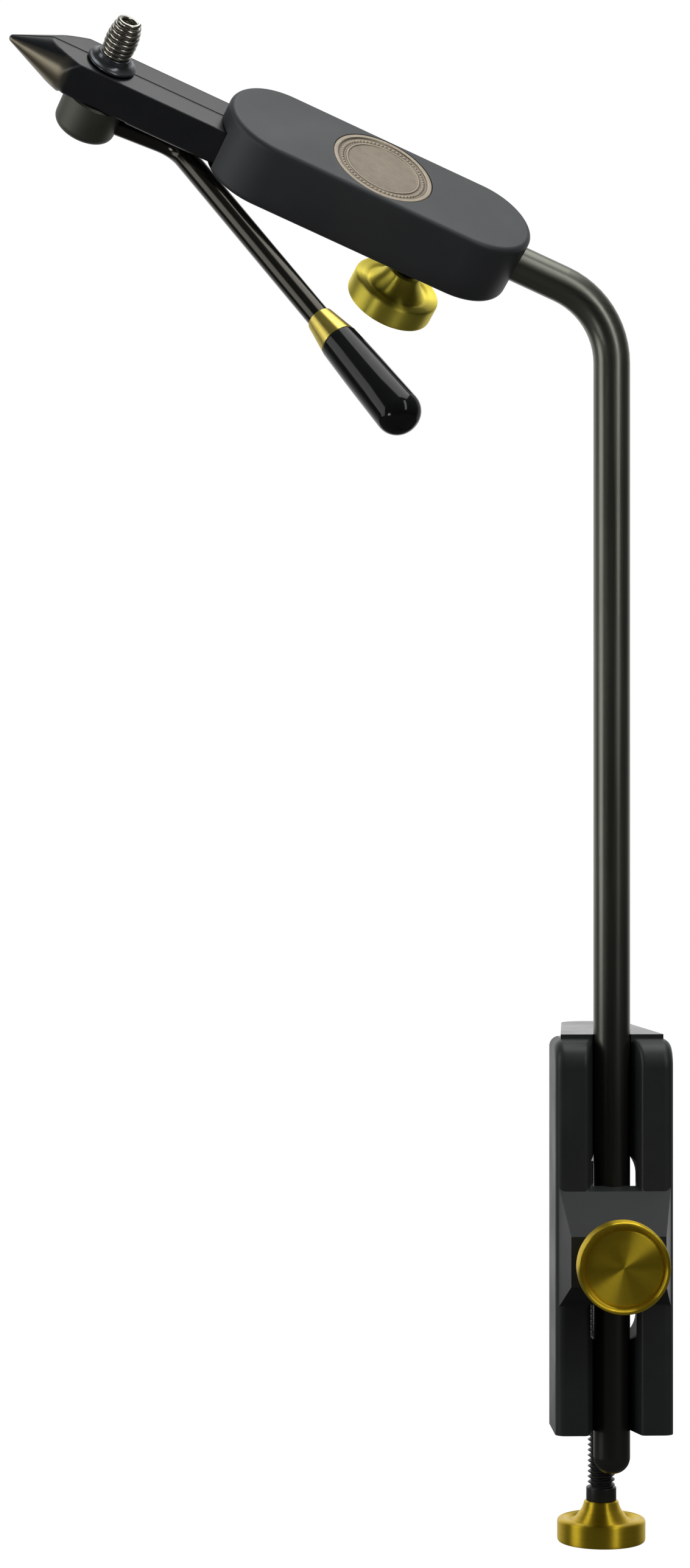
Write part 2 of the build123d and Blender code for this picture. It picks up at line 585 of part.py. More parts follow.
# The jaw spring: a coil between the tails behind the pivots, which keeps the jaws shut
spring_squeeze = JAW_SPRING_FROM_PIVOT * sin(JAW_ANGLE) + RUNNING_FIT
jaw_spring_foot = -(TAIL_GAP / 2 + JAW_SPRING_SOCKET - spring_squeeze)
jaw_spring_rise = -2 * jaw_spring_foot - (1 + FOOT_BEND) * JAW_SPRING_WIRE - JAW_SPRING_WIRE / 2
jaw_spring_pitch = jaw_spring_rise / JAW_SPRING_TURNS
jaw_spring_path = coil_path(
    head_plane(JAW_SPRING_X, 0, JAW_AXIS_Z, (-90, 0, 0)), jaw_spring_foot,
    lambda share: (JAW_SPRING_DIA - JAW_SPRING_WIRE) / 2, JAW_SPRING_TURNS, jaw_spring_pitch, JAW_SPRING_WIRE,
)
with BuildPart() as jaw_spring:
    with BuildSketch(Plane(origin=jaw_spring_path @ 0, z_dir=jaw_spring_path % 0)):
        Circle(JAW_SPRING_WIRE / 2)
    sweep(path=jaw_spring_path)
jaw_spring.part.label = "jaw_spring"

# The cam shaft: two flats between the jaws, a journal in the hub and a post for the spring collar
with BuildPart() as cam_shaft:
    with BuildSketch(head_plane(CAM_X, 0, HUB_TOP)):
        Circle(CAM_DIA / 2)
        Rectangle(CAM_DIA, CAM_FLATS, mode=Mode.INTERSECT)
    extrude(amount=COLLAR_FOOT - HUB_TOP)
    with BuildSketch(head_plane(CAM_X, 0, HUB_TOP)):
        Circle(JOURNAL_DIA / 2)
    extrude(amount=-JOURNAL_LENGTH)
    with BuildSketch(head_plane(CAM_X, 0, COLLAR_FOOT)):
        Circle(POST_DIA / 2)
    extrude(amount=COLLAR_FLOOR - COLLAR_FOOT)
cam_shaft.part.label = "cam_shaft"

# The hub below the jaws, its set screw, and the bent lever rod
SET_SCREW_PLANE = head_plane(CAM_X, 0, ROD_Z, (90, 0, 0))
ROD_PLANE = Plane(LEVER_PLANE.location * Location((0, 0, 0), (0, 90, 0)))
with BuildPart() as lever_hub:
    with BuildSketch(head_plane(CAM_X, 0, HUB_BOTTOM)):
        Circle(HUB_DIA / 2)
    extrude(amount=HUB_HEIGHT)
    fillet(lever_hub.edges().filter_by(GeomType.CIRCLE).sort_by(head_axis)[0], HUB_LOWER_EDGE)
    chamfer(lever_hub.edges().filter_by(GeomType.CIRCLE).sort_by(head_axis)[-1], HUB_UPPER_EDGE)
    with BuildSketch(head_plane(CAM_X, 0, HUB_TOP)):
        Circle(JOURNAL_DIA / 2 + PRESS_FIT)
    extrude(amount=-JOURNAL_LENGTH - PRESS_FIT, mode=Mode.SUBTRACT)
    with BuildSketch(Plane(ROD_PLANE.location * Location((0, 0, ROD_START)))):
        Circle(ROD_DIA / 2 + PRESS_FIT)
    extrude(amount=HUB_DIA / 2, mode=Mode.SUBTRACT)
    with BuildSketch(SET_SCREW_PLANE):
        Circle(SET_SCREW_DIA / 2 + PRESS_FIT)
    extrude(amount=HUB_DIA / 2, mode=Mode.SUBTRACT)
lever_hub.part.label = "lever_hub"

with BuildPart() as hub_set_screw:
    with BuildSketch(Plane(SET_SCREW_PLANE.location * Location((0, 0, JOURNAL_DIA / 2 + PRESS_FIT)))):
        Circle(SET_SCREW_DIA / 2)
    extrude(amount=(HUB_DIA - JOURNAL_DIA) / 2 - BODY_GAP)
    with BuildSketch(Plane(SET_SCREW_PLANE.location * Location((0, 0, HUB_DIA / 2 - BODY_GAP)))):
        RegularPolygon(SET_SCREW_KEY / 2, 6)
    extrude(amount=-SET_SCREW_SOCKET, mode=Mode.SUBTRACT)
hub_set_screw.part.label = "hub_set_screw"

turn = radians(ROD_TURN)
with BuildPart() as lever_rod:
    with BuildLine(LEVER_PLANE) as rod_line:
        FilletPolyline(
            (ROD_START, 0), (ROD_TO_BEND, 0), (ROD_TO_BEND + ROD_END * cos(turn), -ROD_END * sin(turn)),
            radius=ROD_BEND_RADIUS,
        )
    with BuildSketch(Plane(ROD_PLANE.location * Location((0, 0, ROD_START)))):
        Circle(ROD_DIA / 2)
    sweep(path=rod_line.line)
lever_rod.part.label = "lever_rod"

# The brass ferrule and the dipped grip on the rod's outer end
grip_turn = Location((ROD_TO_BEND, 0, 0), (0, 0, -ROD_TURN)) * Location((0, 0, 0), (0, 90, 0))
GRIP_PLANE = Plane(LEVER_PLANE.location * grip_turn)
rod_seat = ROD_DIA / 2 + PRESS_FIT
with BuildPart() as lever_ferrule:
    add(turned(GRIP_PLANE, [
        (rod_seat, BEND_TO_FERRULE), (FERRULE_SMALL_DIA / 2, BEND_TO_FERRULE),
        (FERRULE_BIG_DIA / 2, GRIP_START), (rod_seat, GRIP_START),
    ]))
lever_ferrule.part.label = "lever_ferrule"

with BuildPart() as lever_grip:
    add(turned(GRIP_PLANE, [
        (rod_seat, GRIP_START), (GRIP_NEAR_DIA / 2, GRIP_START), (GRIP_FAR_DIA / 2, GRIP_END), (0, GRIP_END),
        (0, ROD_END), (rod_seat, ROD_END),
    ]))
    grip_rims = lever_grip.edges().filter_by(GeomType.CIRCLE)
    fillet(grip_rims.sort_by(Axis(GRIP_PLANE.origin, GRIP_PLANE.z_dir))[-1], GRIP_END_RADIUS)
lever_grip.part.label = "lever_grip"

# The collar on the cam shaft's post and the barrel spring that stands in it
cam_base = head_plane(CAM_X, 0, 0)
with BuildPart() as spring_collar:
    add(turned(cam_base, [
        (POST_DIA / 2 + PRESS_FIT, COLLAR_FOOT), (COLLAR_BASE_DIA / 2, COLLAR_FOOT),
        (COLLAR_BASE_DIA / 2, COLLAR_FOOT + COLLAR_BAND), (COLLAR_TOP_DIA / 2, COLLAR_TOP),
        (COLLAR_RECESS_DIA / 2, COLLAR_TOP), (COLLAR_RECESS_DIA / 2, COLLAR_FLOOR),
        (POST_DIA / 2 + PRESS_FIT, COLLAR_FLOOR),
    ]))
spring_collar.part.label = "spring_collar"


def barrel(share):
    """Radius of the material spring's centre line, from its foot (0) over the belly to its head (1)."""
    foot, belly, top = ((d - SPRING_WIRE) / 2 for d in (SPRING_FOOT_DIA, SPRING_BELLY_DIA, SPRING_HEAD_DIA))
    rest = 1 - share
    return foot * rest * (rest - share) + 4 * belly * share * rest + top * share * (share - rest)


spring_path = coil_path(cam_base, COLLAR_FLOOR, barrel, SPRING_TURNS, SPRING_PITCH, SPRING_WIRE)
with BuildPart() as material_spring:
    with BuildSketch(Plane(origin=spring_path @ 0, z_dir=spring_path % 0)):
        Circle(SPRING_WIRE / 2)
    sweep(path=spring_path)
material_spring.part.label = "material_spring"

for spring, path, wire, pitch in (
    (material_spring, spring_path, SPRING_WIRE, SPRING_PITCH),
    (jaw_spring, jaw_spring_path, JAW_SPRING_WIRE, jaw_spring_pitch),
):
    print(spring.part.label, "least gap between turns", round(least_gap(path, wire, pitch), 3))

os.makedirs("parts", exist_ok=True)
for piece in (
    clamp_body, clamp_screw, clamp_knob, swivel_pad, pad_snap_ring, stem, stem_lock_knob, stem_lock_screw,
    head_body, medallion, head_lock_knob, head_lock_screw, jaw_pivot_pins, jaw_spring, near_jaw, far_jaw,
    cam_shaft, lever_hub, hub_set_screw, lever_rod, lever_ferrule, lever_grip, spring_collar, material_spring,
):
    export_step(piece.part, f"parts/{piece.part.label}.step")
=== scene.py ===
# %% [markdown]
# # A fly tying vise
# The vise holds a hook while a fly is tied on it. A black C-clamp grips the table, a bent rod rises from
# the clamp, and a block head on the rod carries two long jaws that a lever opens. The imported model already
# gives every solid its place, so this file only adds what a solid can't show: finishes, threads, coils and
# light.

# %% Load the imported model
from math import cos, pi, radians, sin

import bmesh
import bpy
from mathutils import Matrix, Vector


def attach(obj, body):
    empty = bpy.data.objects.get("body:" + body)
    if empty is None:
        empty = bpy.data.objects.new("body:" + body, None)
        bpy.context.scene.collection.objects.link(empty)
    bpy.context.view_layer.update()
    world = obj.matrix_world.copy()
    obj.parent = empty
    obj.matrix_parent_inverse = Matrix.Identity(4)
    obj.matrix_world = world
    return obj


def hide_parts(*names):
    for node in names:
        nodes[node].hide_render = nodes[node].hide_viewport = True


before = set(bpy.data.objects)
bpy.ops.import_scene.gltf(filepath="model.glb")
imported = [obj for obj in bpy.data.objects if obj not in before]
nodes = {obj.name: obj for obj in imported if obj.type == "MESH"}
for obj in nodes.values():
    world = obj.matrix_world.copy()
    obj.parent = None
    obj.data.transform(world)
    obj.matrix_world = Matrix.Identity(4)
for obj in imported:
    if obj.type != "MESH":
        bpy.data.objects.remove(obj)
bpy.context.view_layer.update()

# %% [markdown]
# Most pieces of the head are turned or bored square to its broad face, so it helps to speak in the head's
# own axes: along runs from the rod's corner to the jaw tips, facing stands out of the broad face, and across
# points to the tyer. They could be measured on the solids, but three angles say it better: the rise and
# swing of the bent rod and the roll of the head on it.

# %% Axes of the vise
MM = 0.001
STEM_FOOT = Vector((0, -24, 0)) * MM
CORNER = Vector((0, -24, 197.85)) * MM
RISE, SWING, ROLL = radians(23.0), radians(8.2), radians(41.5)
ALONG = Vector((-cos(RISE) * cos(SWING), -cos(RISE) * sin(SWING), sin(RISE)))
upright = Vector((sin(RISE) * cos(SWING), sin(RISE) * sin(SWING), cos(RISE)))
FACING = upright * cos(ROLL) + upright.cross(ALONG) * sin(ROLL)
ACROSS = FACING.cross(ALONG)
TIP_ALONG = 168.9


def in_head(x, y=0.0, z=0.0):
    """A point given in the head's own axes, in millimetres."""
    return CORNER + (ALONG * x + ACROSS * y + FACING * z) * MM


print("jaw tips near", [round(v, 4) for v in in_head(TIP_ALONG)])

# %% [markdown]
# The picture was taken level with the middle of the stem, a little to the left, from about 0.9 m. A lens
# could be chosen by eye, but this one was fitted to the outlines of the vise, so that the clamp and the head
# come out at the same scale. Blender reads the sensor along the long side of an upright picture, so the
# focal length follows from the picture's 2576 pixels of height.

# %% Camera
FOCAL_PIXELS = 5562.0
PICTURE_HEIGHT = 2576
CAMERA_PLACE = (-0.10303, -0.90069, 0.074)
CAMERA_YAW = radians(-2.2)
camera_data = bpy.data.cameras.new("camera")
camera_data.sensor_width = 36.0
camera_data.lens = FOCAL_PIXELS * camera_data.sensor_width / PICTURE_HEIGHT
camera_data.clip_start = 0.01
camera = bpy.data.objects.new("camera", camera_data)
camera.location = CAMERA_PLACE
camera.rotation_euler = (radians(90), 0, CAMERA_YAW)
bpy.context.scene.collection.objects.link(camera)
bpy.context.scene.camera = camera
print("lens", round(camera_data.lens, 2), "mm")

# %% [markdown]
# The picture has a white ground and a dark vise. A bright dome could light it, but lamps are easier to aim.
# One large soft lamp hangs overhead, so upward faces look grey and the faces towards the camera stay nearly
# black. Two tall lamps, one on each side, are too weak to light the black pieces but draw the long thin
# reflections down the rod and the grip. A small low one stands for the light that a bench throws back: it
# draws the streak under the nose of the jaws.

# %% Lamps
MIDDLE = (-0.05, -0.03, 0.08)
JAW_NOSE = in_head(158.0)


def soft_lamp(name, place, aim, wide, tall, power, beam=180.0):
    """A soft rectangular lamp that looks at a point, with a beam of so many degrees."""
    data = bpy.data.lights.new(name, "AREA")
    data.shape = "RECTANGLE"
    data.size = wide
    data.size_y = tall
    data.energy = power
    data.spread = radians(beam)
    lamp = bpy.data.objects.new(name, data)
    lamp.location = place
    lamp.rotation_euler = (Vector(aim) - Vector(place)).to_track_quat("-Z", "Y").to_euler()
    bpy.context.scene.collection.objects.link(lamp)
    return lamp


lamps = [
    soft_lamp("lamp_above", (0.20, -0.02, 1.25), MIDDLE, wide=0.9, tall=0.9, power=7.6),
    soft_lamp("lamp_left", (-1.1, -0.25, 0.30), MIDDLE, wide=0.5, tall=1.0, power=3.1),
    soft_lamp("lamp_right", (0.66, -0.95, 0.66), MIDDLE, wide=0.2, tall=1.05, power=3.0),
    soft_lamp("lamp_low", (-0.85, -0.75, -0.10), JAW_NOSE, wide=0.5, tall=0.35, power=0.07, beam=20.0),
]
print("lamps:", [lamp.name for lamp in lamps])

# %% [markdown]
# Light and finishes are both made with nodes: small boxes in a tree, each with inputs and outputs. They could
# be drawn by hand in Blender's editor. Here a few helpers place a box, connect it and hand back its output,
# so that a finish reads like a sum.

# %% Helpers for nodes
def feed(tree, socket, value):
    """Links an output to an input socket, or sets the socket to a plain value."""
    if isinstance(value, bpy.types.NodeSocket):
        tree.links.new(value, socket)
    else:
        socket.default_value = value


def ranged(tree, value, span=(0.0, 1.0), to=(0.0, 1.0)):
    """Carries a value from one span to another and holds it there; returns the result."""
    node = tree.nodes.new("ShaderNodeMapRange")
    feed(tree, node.inputs["Value"], value)
    for label, number in zip(("From Min", "From Max", "To Min", "To Max"), (*span, *to)):
        node.inputs[label].default_value = number
    return node.outputs[0]


def math_node(tree, operation, *values, clamp=False):
    """A maths node on sockets or plain numbers; returns its result."""
    node = tree.nodes.new("ShaderNodeMath")
    node.operation = operation
    node.use_clamp = clamp
    for socket, value in zip(node.inputs, values):
        feed(tree, socket, value)
    return node.outputs[0]


print("helpers for nodes ready")

# %% [markdown]
# The real vise stood in front of white. A white sky would do, but it would light the vise from everywhere
# and wash out its blacks, so only the camera's own rays see white. Metal has to show that ground too, so
# reflected rays that leave towards the back of the room also meet white, and that draws the pale lines along
# edges seen at a slant. Room and floor both need this, so it gets two helpers.

# %% White ground
def seen_directly(tree, behind):
    """How far a ray meets the white ground: camera rays always, reflected ones towards the back."""
    path = tree.nodes.new("ShaderNodeLightPath")
    bent = (path.outputs["Is Glossy Ray"], path.outputs["Is Transmission Ray"])
    bent_back = math_node(tree, "MULTIPLY", math_node(tree, "ADD", *bent, clamp=True), behind)
    return math_node(tree, "ADD", path.outputs["Is Camera Ray"], bent_back, clamp=True)


def mixed_shader(tree, share, first, second, output):
    """Shows a second shader over a first one, by a share."""
    node = tree.nodes.new("ShaderNodeMixShader")
    for socket, value in zip(node.inputs, (share, first.outputs[0], second.outputs[0])):
        feed(tree, socket, value)
    feed(tree, output.inputs["Surface"], node.outputs[0])


print("helpers for the white ground ready")

# %% [markdown]
# Every ray that doesn't see white meets a dim room. One even grey would be simpler, but this room is brighter
# overhead than below and darkest on the side of the camera, so that a knob's face keeps its contrast.

# %% Room
ROOM_TINT = (0.95, 1.0, 0.98, 1)
WHITE = (1, 1, 1, 1)
world = bpy.data.worlds.new("room")
bpy.context.scene.world = world
world.use_nodes = True
tree = world.node_tree
tree.nodes.clear()
place = tree.nodes.new("ShaderNodeTexCoord")
direction = tree.nodes.new("ShaderNodeSeparateXYZ")
feed(tree, direction.inputs[0], place.outputs["Generated"])
overhead = ranged(tree, direction.outputs["Z"], (-0.4, 0.9), (0.012, 0.13))
near_wall = ranged(tree, direction.outputs["Y"], (-1.0, -0.2), (0.35, 1.0))
far_wall = ranged(tree, direction.outputs["Y"], (0.3, 0.85))
dim_room = tree.nodes.new("ShaderNodeBackground")
dim_room.inputs["Color"].default_value = ROOM_TINT
feed(tree, dim_room.inputs["Strength"], math_node(tree, "MULTIPLY", overhead, near_wall))
white_room = tree.nodes.new("ShaderNodeBackground")
white_room.inputs["Color"].default_value = WHITE
white_room.inputs["Strength"].default_value = 1.0
mixed_shader(tree, seen_directly(tree, far_wall), dim_room, white_room,
             tree.nodes.new("ShaderNodeOutputWorld"))
bpy.context.scene.view_settings.view_transform = "Standard"
print("room has", len(tree.nodes), "nodes")

# %% [markdown]
# Below the vise lies a round of paper. A square sheet would do, but a round one ends equally far away on all
# sides. It lies low enough to be clear of the stem when that is let down all the way.

# %% Floor
FLOOR_Z = -0.225
FLOOR_RADIUS = 1.1
FLOOR_MIDDLE = (-0.03, 0.05, FLOOR_Z)
paper_round = bmesh.new()
bmesh.ops.create_circle(paper_round, cap_ends=True, segments=96, radius=FLOOR_RADIUS)
bmesh.ops.translate(paper_round, verts=paper_round.verts, vec=FLOOR_MIDDLE)
floor_mesh = bpy.data.meshes.new("floor")
paper_round.to_mesh(floor_mesh)
paper_round.free()
floor = bpy.data.objects.new("floor", floor_mesh)
bpy.context.scene.collection.objects.link(floor)
print("floor at", FLOOR_Z, "m")

# %% [markdown]
# White paper would throw light up at the vise, so the paper itself is a dim grey, and only the camera and
# reflections of its far end see white. Some of its own shading is mixed in under the clamp, so that the
# shadow of the vise still shows when the scene is looked at from above. That share fades out within a hand's
# breadth, so the paper shows no edge.

# %% Paper
SHADOW_MIDDLE = (-0.02, -0.06, FLOOR_Z)
PAPER_GREY = (0.16, 0.16, 0.16, 1)


def vector_node(tree, operation, *values):
    """A vector maths node on sockets or plain vectors; returns the node."""
    node = tree.nodes.new("ShaderNodeVectorMath")
    node.operation = operation
    for socket, value in zip(node.inputs, values):
        feed(tree, socket, value)
    return node


pale = bpy.data.materials.new("pale_floor")
pale.use_nodes = True
tree = pale.node_tree
paper = tree.nodes["Principled BSDF"]
paper.inputs["Base Color"].default_value = PAPER_GREY
paper.inputs["Roughness"].default_value = 0.9
paper.inputs["Specular IOR Level"].default_value = 0.1
glow = tree.nodes.new("ShaderNodeEmission")
glow.inputs["Strength"].default_value = 1.0
place = tree.nodes.new("ShaderNodeTexCoord")
spot = tree.nodes.new("ShaderNodeSeparateXYZ")
feed(tree, spot.inputs[0], place.outputs["Object"])
from_foot = vector_node(tree, "DISTANCE", place.outputs["Object"], SHADOW_MIDDLE)
white_share = ranged(tree, from_foot.outputs["Value"], (0.03, 0.17), (0.88, 1.0))
far_floor = ranged(tree, spot.outputs["Y"], (0.48, 0.93))
seen_white = math_node(tree, "MULTIPLY", seen_directly(tree, far_floor), white_share)
mixed_shader(tree, seen_white, paper, glow, tree.nodes["Material Output"])
floor_mesh.materials.append(pale)
print(pale.name, "on the floor")

# %% [markdown]
# Every finish on the vise shares a few small effects: a fine grain, soft blotches, lines left by a tool and
# wear along the edges. They could be built again in each material, but a node group is built once and then
# placed where it is needed, with sockets for what differs from piece to piece. A group only hands out masks,
# heights and distances; the shaders stay in the materials.

# %% Helpers for node groups
def node_group(name, inputs, outputs):
    """An empty shader node group with named sockets, and its two ends."""
    group = bpy.data.node_groups.new(name, "ShaderNodeTree")
    for label, kind, value in inputs:
        socket = group.interface.new_socket(label, in_out="INPUT", socket_type=kind)
        socket.default_value = value
    for label in outputs:
        group.interface.new_socket(label, in_out="OUTPUT", socket_type="NodeSocketFloat")
    return group, group.nodes.new("NodeGroupInput"), group.nodes.new("NodeGroupOutput")


def noise_node(tree, place, scale, detail):
    """A noise texture read at a place; returns the node."""
    node = tree.nodes.new("ShaderNodeTexNoise")
    feed(tree, node.inputs["Vector"], place)
    feed(tree, node.inputs["Scale"], scale)
    node.inputs["Detail"].default_value = detail
    return node


NOISE_SPAN = (0.3, 0.7)
print("helpers for groups ready; noise is used between", NOISE_SPAN)

# %% [markdown]
# Bead blasting and dyeing leave a fine, even grain with slower changes in the depth of the black. A picture
# of such a surface could be laid on, but noise needs no unwrapping and has no seams. Two layers of it make
# the grain: one for the bump, one for the blotches.

# %% Grain group
grain, grain_in, grain_out = node_group(
    "fine_grain",
    [("Size", "NodeSocketFloat", 900.0), ("Blotch Size", "NodeSocketFloat", 60.0)],
    ["Height", "Blotch"],
)
where = grain.nodes.new("ShaderNodeTexCoord").outputs["Object"]
fine = noise_node(grain, where, grain_in.outputs["Size"], detail=3.0)
broad = noise_node(grain, where, grain_in.outputs["Blotch Size"], detail=4.0)
broad.inputs["Roughness"].default_value = 0.6
feed(grain, grain_out.inputs["Height"], fine.outputs[0])
feed(grain, grain_out.inputs["Blotch"], ranged(grain, broad.outputs[0], NOISE_SPAN))
print("group", grain.name)

# %% [markdown]
# A lathe leaves rings round the axis of a piece, and a drawn rod keeps lines along it. Waves would repeat too
# evenly, so noise makes both. Read on the distance from the axis and the distance along it, it gives rings.
# Read on the direction round the axis, with only a slow change along it, it gives lines.

# %% Tool line group
LINE_CIRCLE = 0.004
LINE_DRIFT = 0.02
lines, lines_in, lines_out = node_group(
    "tool_lines",
    [
        ("Centre", "NodeSocketVector", (0, 0, 0)),
        ("Axis", "NodeSocketVector", (0, 0, 1)),
        ("Ring Size", "NodeSocketFloat", 2500.0),
        ("Line Size", "NodeSocketFloat", 900.0),
    ],
    ["Rings", "Lines", "Depth"],
)
where = lines.nodes.new("ShaderNodeTexCoord").outputs["Object"]
arm = vector_node(lines, "SUBTRACT", where, lines_in.outputs["Centre"]).outputs[0]
depth = vector_node(lines, "DOT_PRODUCT", arm, lines_in.outputs["Axis"]).outputs["Value"]
around = vector_node(lines, "CROSS_PRODUCT", arm, lines_in.outputs["Axis"]).outputs[0]
ring_place = lines.nodes.new("ShaderNodeCombineXYZ")
feed(lines, ring_place.inputs[0], vector_node(lines, "LENGTH", around).outputs["Value"])
feed(lines, ring_place.inputs[1], depth)
line_circle = vector_node(lines, "SCALE", vector_node(lines, "NORMALIZE", around).outputs[0])
line_circle.inputs["Scale"].default_value = LINE_CIRCLE
line_drift = lines.nodes.new("ShaderNodeCombineXYZ")
feed(lines, line_drift.inputs[2], math_node(lines, "MULTIPLY", depth, LINE_DRIFT))
line_place = vector_node(lines, "ADD", line_circle.outputs[0], line_drift.outputs[0])
ring_noise = noise_node(lines, ring_place.outputs[0], lines_in.outputs["Ring Size"], detail=2.0)
line_noise = noise_node(lines, line_place.outputs[0], lines_in.outputs["Line Size"], detail=3.0)
feed(lines, lines_out.inputs["Rings"], ranged(lines, ring_noise.outputs[0], NOISE_SPAN))
feed(lines, lines_out.inputs["Lines"], ranged(lines, line_noise.outputs[0], NOISE_SPAN))
feed(lines, lines_out.inputs["Depth"], depth)
print("group", lines.name)

# %% [markdown]
# Handling rubs black finishes thin along the edges. Wear could be painted by hand, but the bevel node finds
# the edges by itself: its softened normal differs from the true one where a surface turns, and the
# difference, broken up by noise, is the wear.

# %% Edge wear group
BEVEL_SAMPLES = 6
WEAR_GAIN = 6.0
WEAR_PATCHES = 220.0
wear, wear_in, wear_out = node_group(
    "edge_wear",
    [("Width", "NodeSocketFloat", 0.0006), ("Amount", "NodeSocketFloat", 0.5)],
    ["Mask"],
)
soft = wear.nodes.new("ShaderNodeBevel")
soft.samples = BEVEL_SAMPLES
feed(wear, soft.inputs["Radius"], wear_in.outputs["Width"])
surface = wear.nodes.new("ShaderNodeNewGeometry")
same = vector_node(wear, "DOT_PRODUCT", soft.outputs[0], surface.outputs["Normal"]).outputs["Value"]
turned_away = math_node(wear, "SUBTRACT", 1.0, same, clamp=True)
strong = math_node(wear, "MULTIPLY", turned_away, WEAR_GAIN, clamp=True)
where = wear.nodes.new("ShaderNodeTexCoord").outputs["Object"]
patches = noise_node(wear, where, WEAR_PATCHES, detail=4.0)
broken = math_node(wear, "MULTIPLY", strong, patches.outputs[0])
mask = math_node(wear, "MULTIPLY", broken, wear_in.outputs["Amount"], clamp=True)
feed(wear, wear_out.inputs["Mask"], mask)
print("group", wear.name)

# %% [markdown]
# Each finish on the vise is a material with one Principled shader, which can be metal, plastic or dyed coat.
# One could set up each by hand. Two helpers save that: one starts a material, and one places a group in it.

# %% Starting a finish
def new_finish(name):
    """A new material, its node tree and its shader."""
    material = bpy.data.materials.new(name)
    material.use_nodes = True
    return material, material.node_tree, material.node_tree.nodes["Principled BSDF"]


def place_group(tree, group, **values):
    """A node that uses a group, with some of its inputs set."""
    node = tree.nodes.new("ShaderNodeGroup")
    node.node_tree = group
    for label, value in values.items():
        node.inputs[label.replace("_", " ")].default_value = value
    return node


print("helpers for new finishes ready")

# %% [markdown]
# Three more helpers end a finish: one mixes two colours by a mask, one adds a bump, and one puts the finish
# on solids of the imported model. Most skins on the vise are only a hundredth of a millimetre deep, which no
# mesh could show, so that depth gets a name for the bump.

# %% Colour, bump and dressing
SKIN_DEPTH = 0.00001


def mixed(tree, mask, low, high):
    """A colour between low and high, by a mask; each is a socket or three plain numbers."""
    node = tree.nodes.new("ShaderNodeMix")
    node.data_type = "RGBA"
    feed(tree, node.inputs["Factor"], mask)
    colour_sockets = [socket for socket in node.inputs if socket.type == "RGBA"]
    for socket, value in zip(colour_sockets, (low, high)):
        feed(tree, socket, value if isinstance(value, bpy.types.NodeSocket) else (*value, 1))
    return [socket for socket in node.outputs if socket.type == "RGBA"][0]


def bump(tree, shader, height, distance, strength, normal=None):
    """A bump on a shader's normal, or on another normal."""
    node = tree.nodes.new("ShaderNodeBump")
    if normal:
        feed(tree, node.inputs["Normal"], normal)
    node.inputs["Distance"].default_value = distance
    node.inputs["Strength"].default_value = strength
    feed(tree, node.inputs["Height"], height)
    feed(tree, shader.inputs["Normal"], node.outputs[0])


def dress(material, *names):
    """Gives CAD nodes their finish."""
    for name in names:
        slots = nodes[name].data.materials
        slots.clear()
        slots.append(material)
    print(material.name, "on", ", ".join(names))


print("skins are", SKIN_DEPTH / MM, "mm deep")

# %% [markdown]
# The head and the clamp are bead-blasted and dyed black. One flat black would look like paint: the dye is a
# thin coat over metal, so it is dark and matte with a weak sheen, varies a little in depth, and is a shade
# lighter along the edges. Level faces of the clamp get a smoother gloss and a painted sheen of paler grey,
# which stands in for the light that the top of the clamp's arm catches.

# %% Black anodised finish
WORN_GREY = (0.15, 0.155, 0.16)
TOP_SHEEN_GREY = (0.083, 0.083, 0.080)
LEVEL_SPAN = (0.97, 0.995)


def black_anodised(name, dark, light, rough, grain_size, gloss, smoother_top_and_sheen=0.0):
    """Blasted and dyed black; the last argument says how much smoother its level faces are, and also lays a
    painted sheen of paler grey on them.
    """
    material, tree, shader = new_finish(name)
    texture = place_group(tree, grain, Size=grain_size, Blotch_Size=55.0)
    edges = place_group(tree, wear, Width=0.0005, Amount=0.4)
    black = mixed(tree, texture.outputs["Blotch"], dark, light)
    colour = mixed(tree, edges.outputs["Mask"], black, WORN_GREY)
    dull = ranged(tree, texture.outputs["Blotch"], to=(rough - 0.04, rough + 0.05))
    # Painted sheen: level faces get a paler grey for the light they catch, and a smoother gloss.
    if smoother_top_and_sheen:
        surface = tree.nodes.new("ShaderNodeNewGeometry")
        level = vector_node(tree, "DOT_PRODUCT", surface.outputs["Normal"], (0, 0, 1))
        painted_top_sheen = ranged(tree, level.outputs["Value"], LEVEL_SPAN)
        colour = mixed(tree, painted_top_sheen, colour, TOP_SHEEN_GREY)
        dull = math_node(tree, "SUBTRACT", dull, math_node(tree, "MULTIPLY", painted_top_sheen, smoother_top_and_sheen), clamp=True)
    feed(tree, shader.inputs["Base Color"], colour)
    feed(tree, shader.inputs["Roughness"], dull)
    shader.inputs["Specular IOR Level"].default_value = gloss
    bump(tree, shader, texture.outputs["Height"], 3 * SKIN_DEPTH, strength=0.3)
    return material


head_black = black_anodised(
    "head_black", dark=(0.050, 0.053, 0.057), light=(0.056, 0.059, 0.063),
    rough=0.48, grain_size=1500.0, gloss=0.42,
)
dress(head_black, "head_body")
clamp_black = black_anodised(
    "clamp_black", dark=(0.032, 0.036, 0.036), light=(0.041, 0.045, 0.045),
    rough=0.43, grain_size=1100.0, gloss=0.38, smoother_top_and_sheen=0.19,
)
dress(clamp_black, "clamp_body")

# %% [markdown]
# The lever hangs from a hub under the jaws. Its rod runs out from the hub, bends once and goes straight on to
# the grip, so rod, ferrule and grip share the axis of that straight part. The axis could be read from a mesh,
# but two angles and a reach give it exactly.

# %% Axis of the lever
CAM_ALONG = 143.0
ROD_REACH, ROD_LEVEL = 23.98, -12.3
ROD_LEAVES, ROD_TURNS = 187.0, 52.9
leaves = radians(ROD_LEAVES)
goes_on = radians(ROD_LEAVES - ROD_TURNS)
ROD_BEND = in_head(CAM_ALONG + ROD_REACH * cos(leaves), ROD_REACH * sin(leaves), ROD_LEVEL)
LEVER_AXIS = (ALONG * cos(goes_on) + ACROSS * sin(goes_on)).normalized()
print("the lever's rod bends at", [round(v, 4) for v in ROD_BEND])
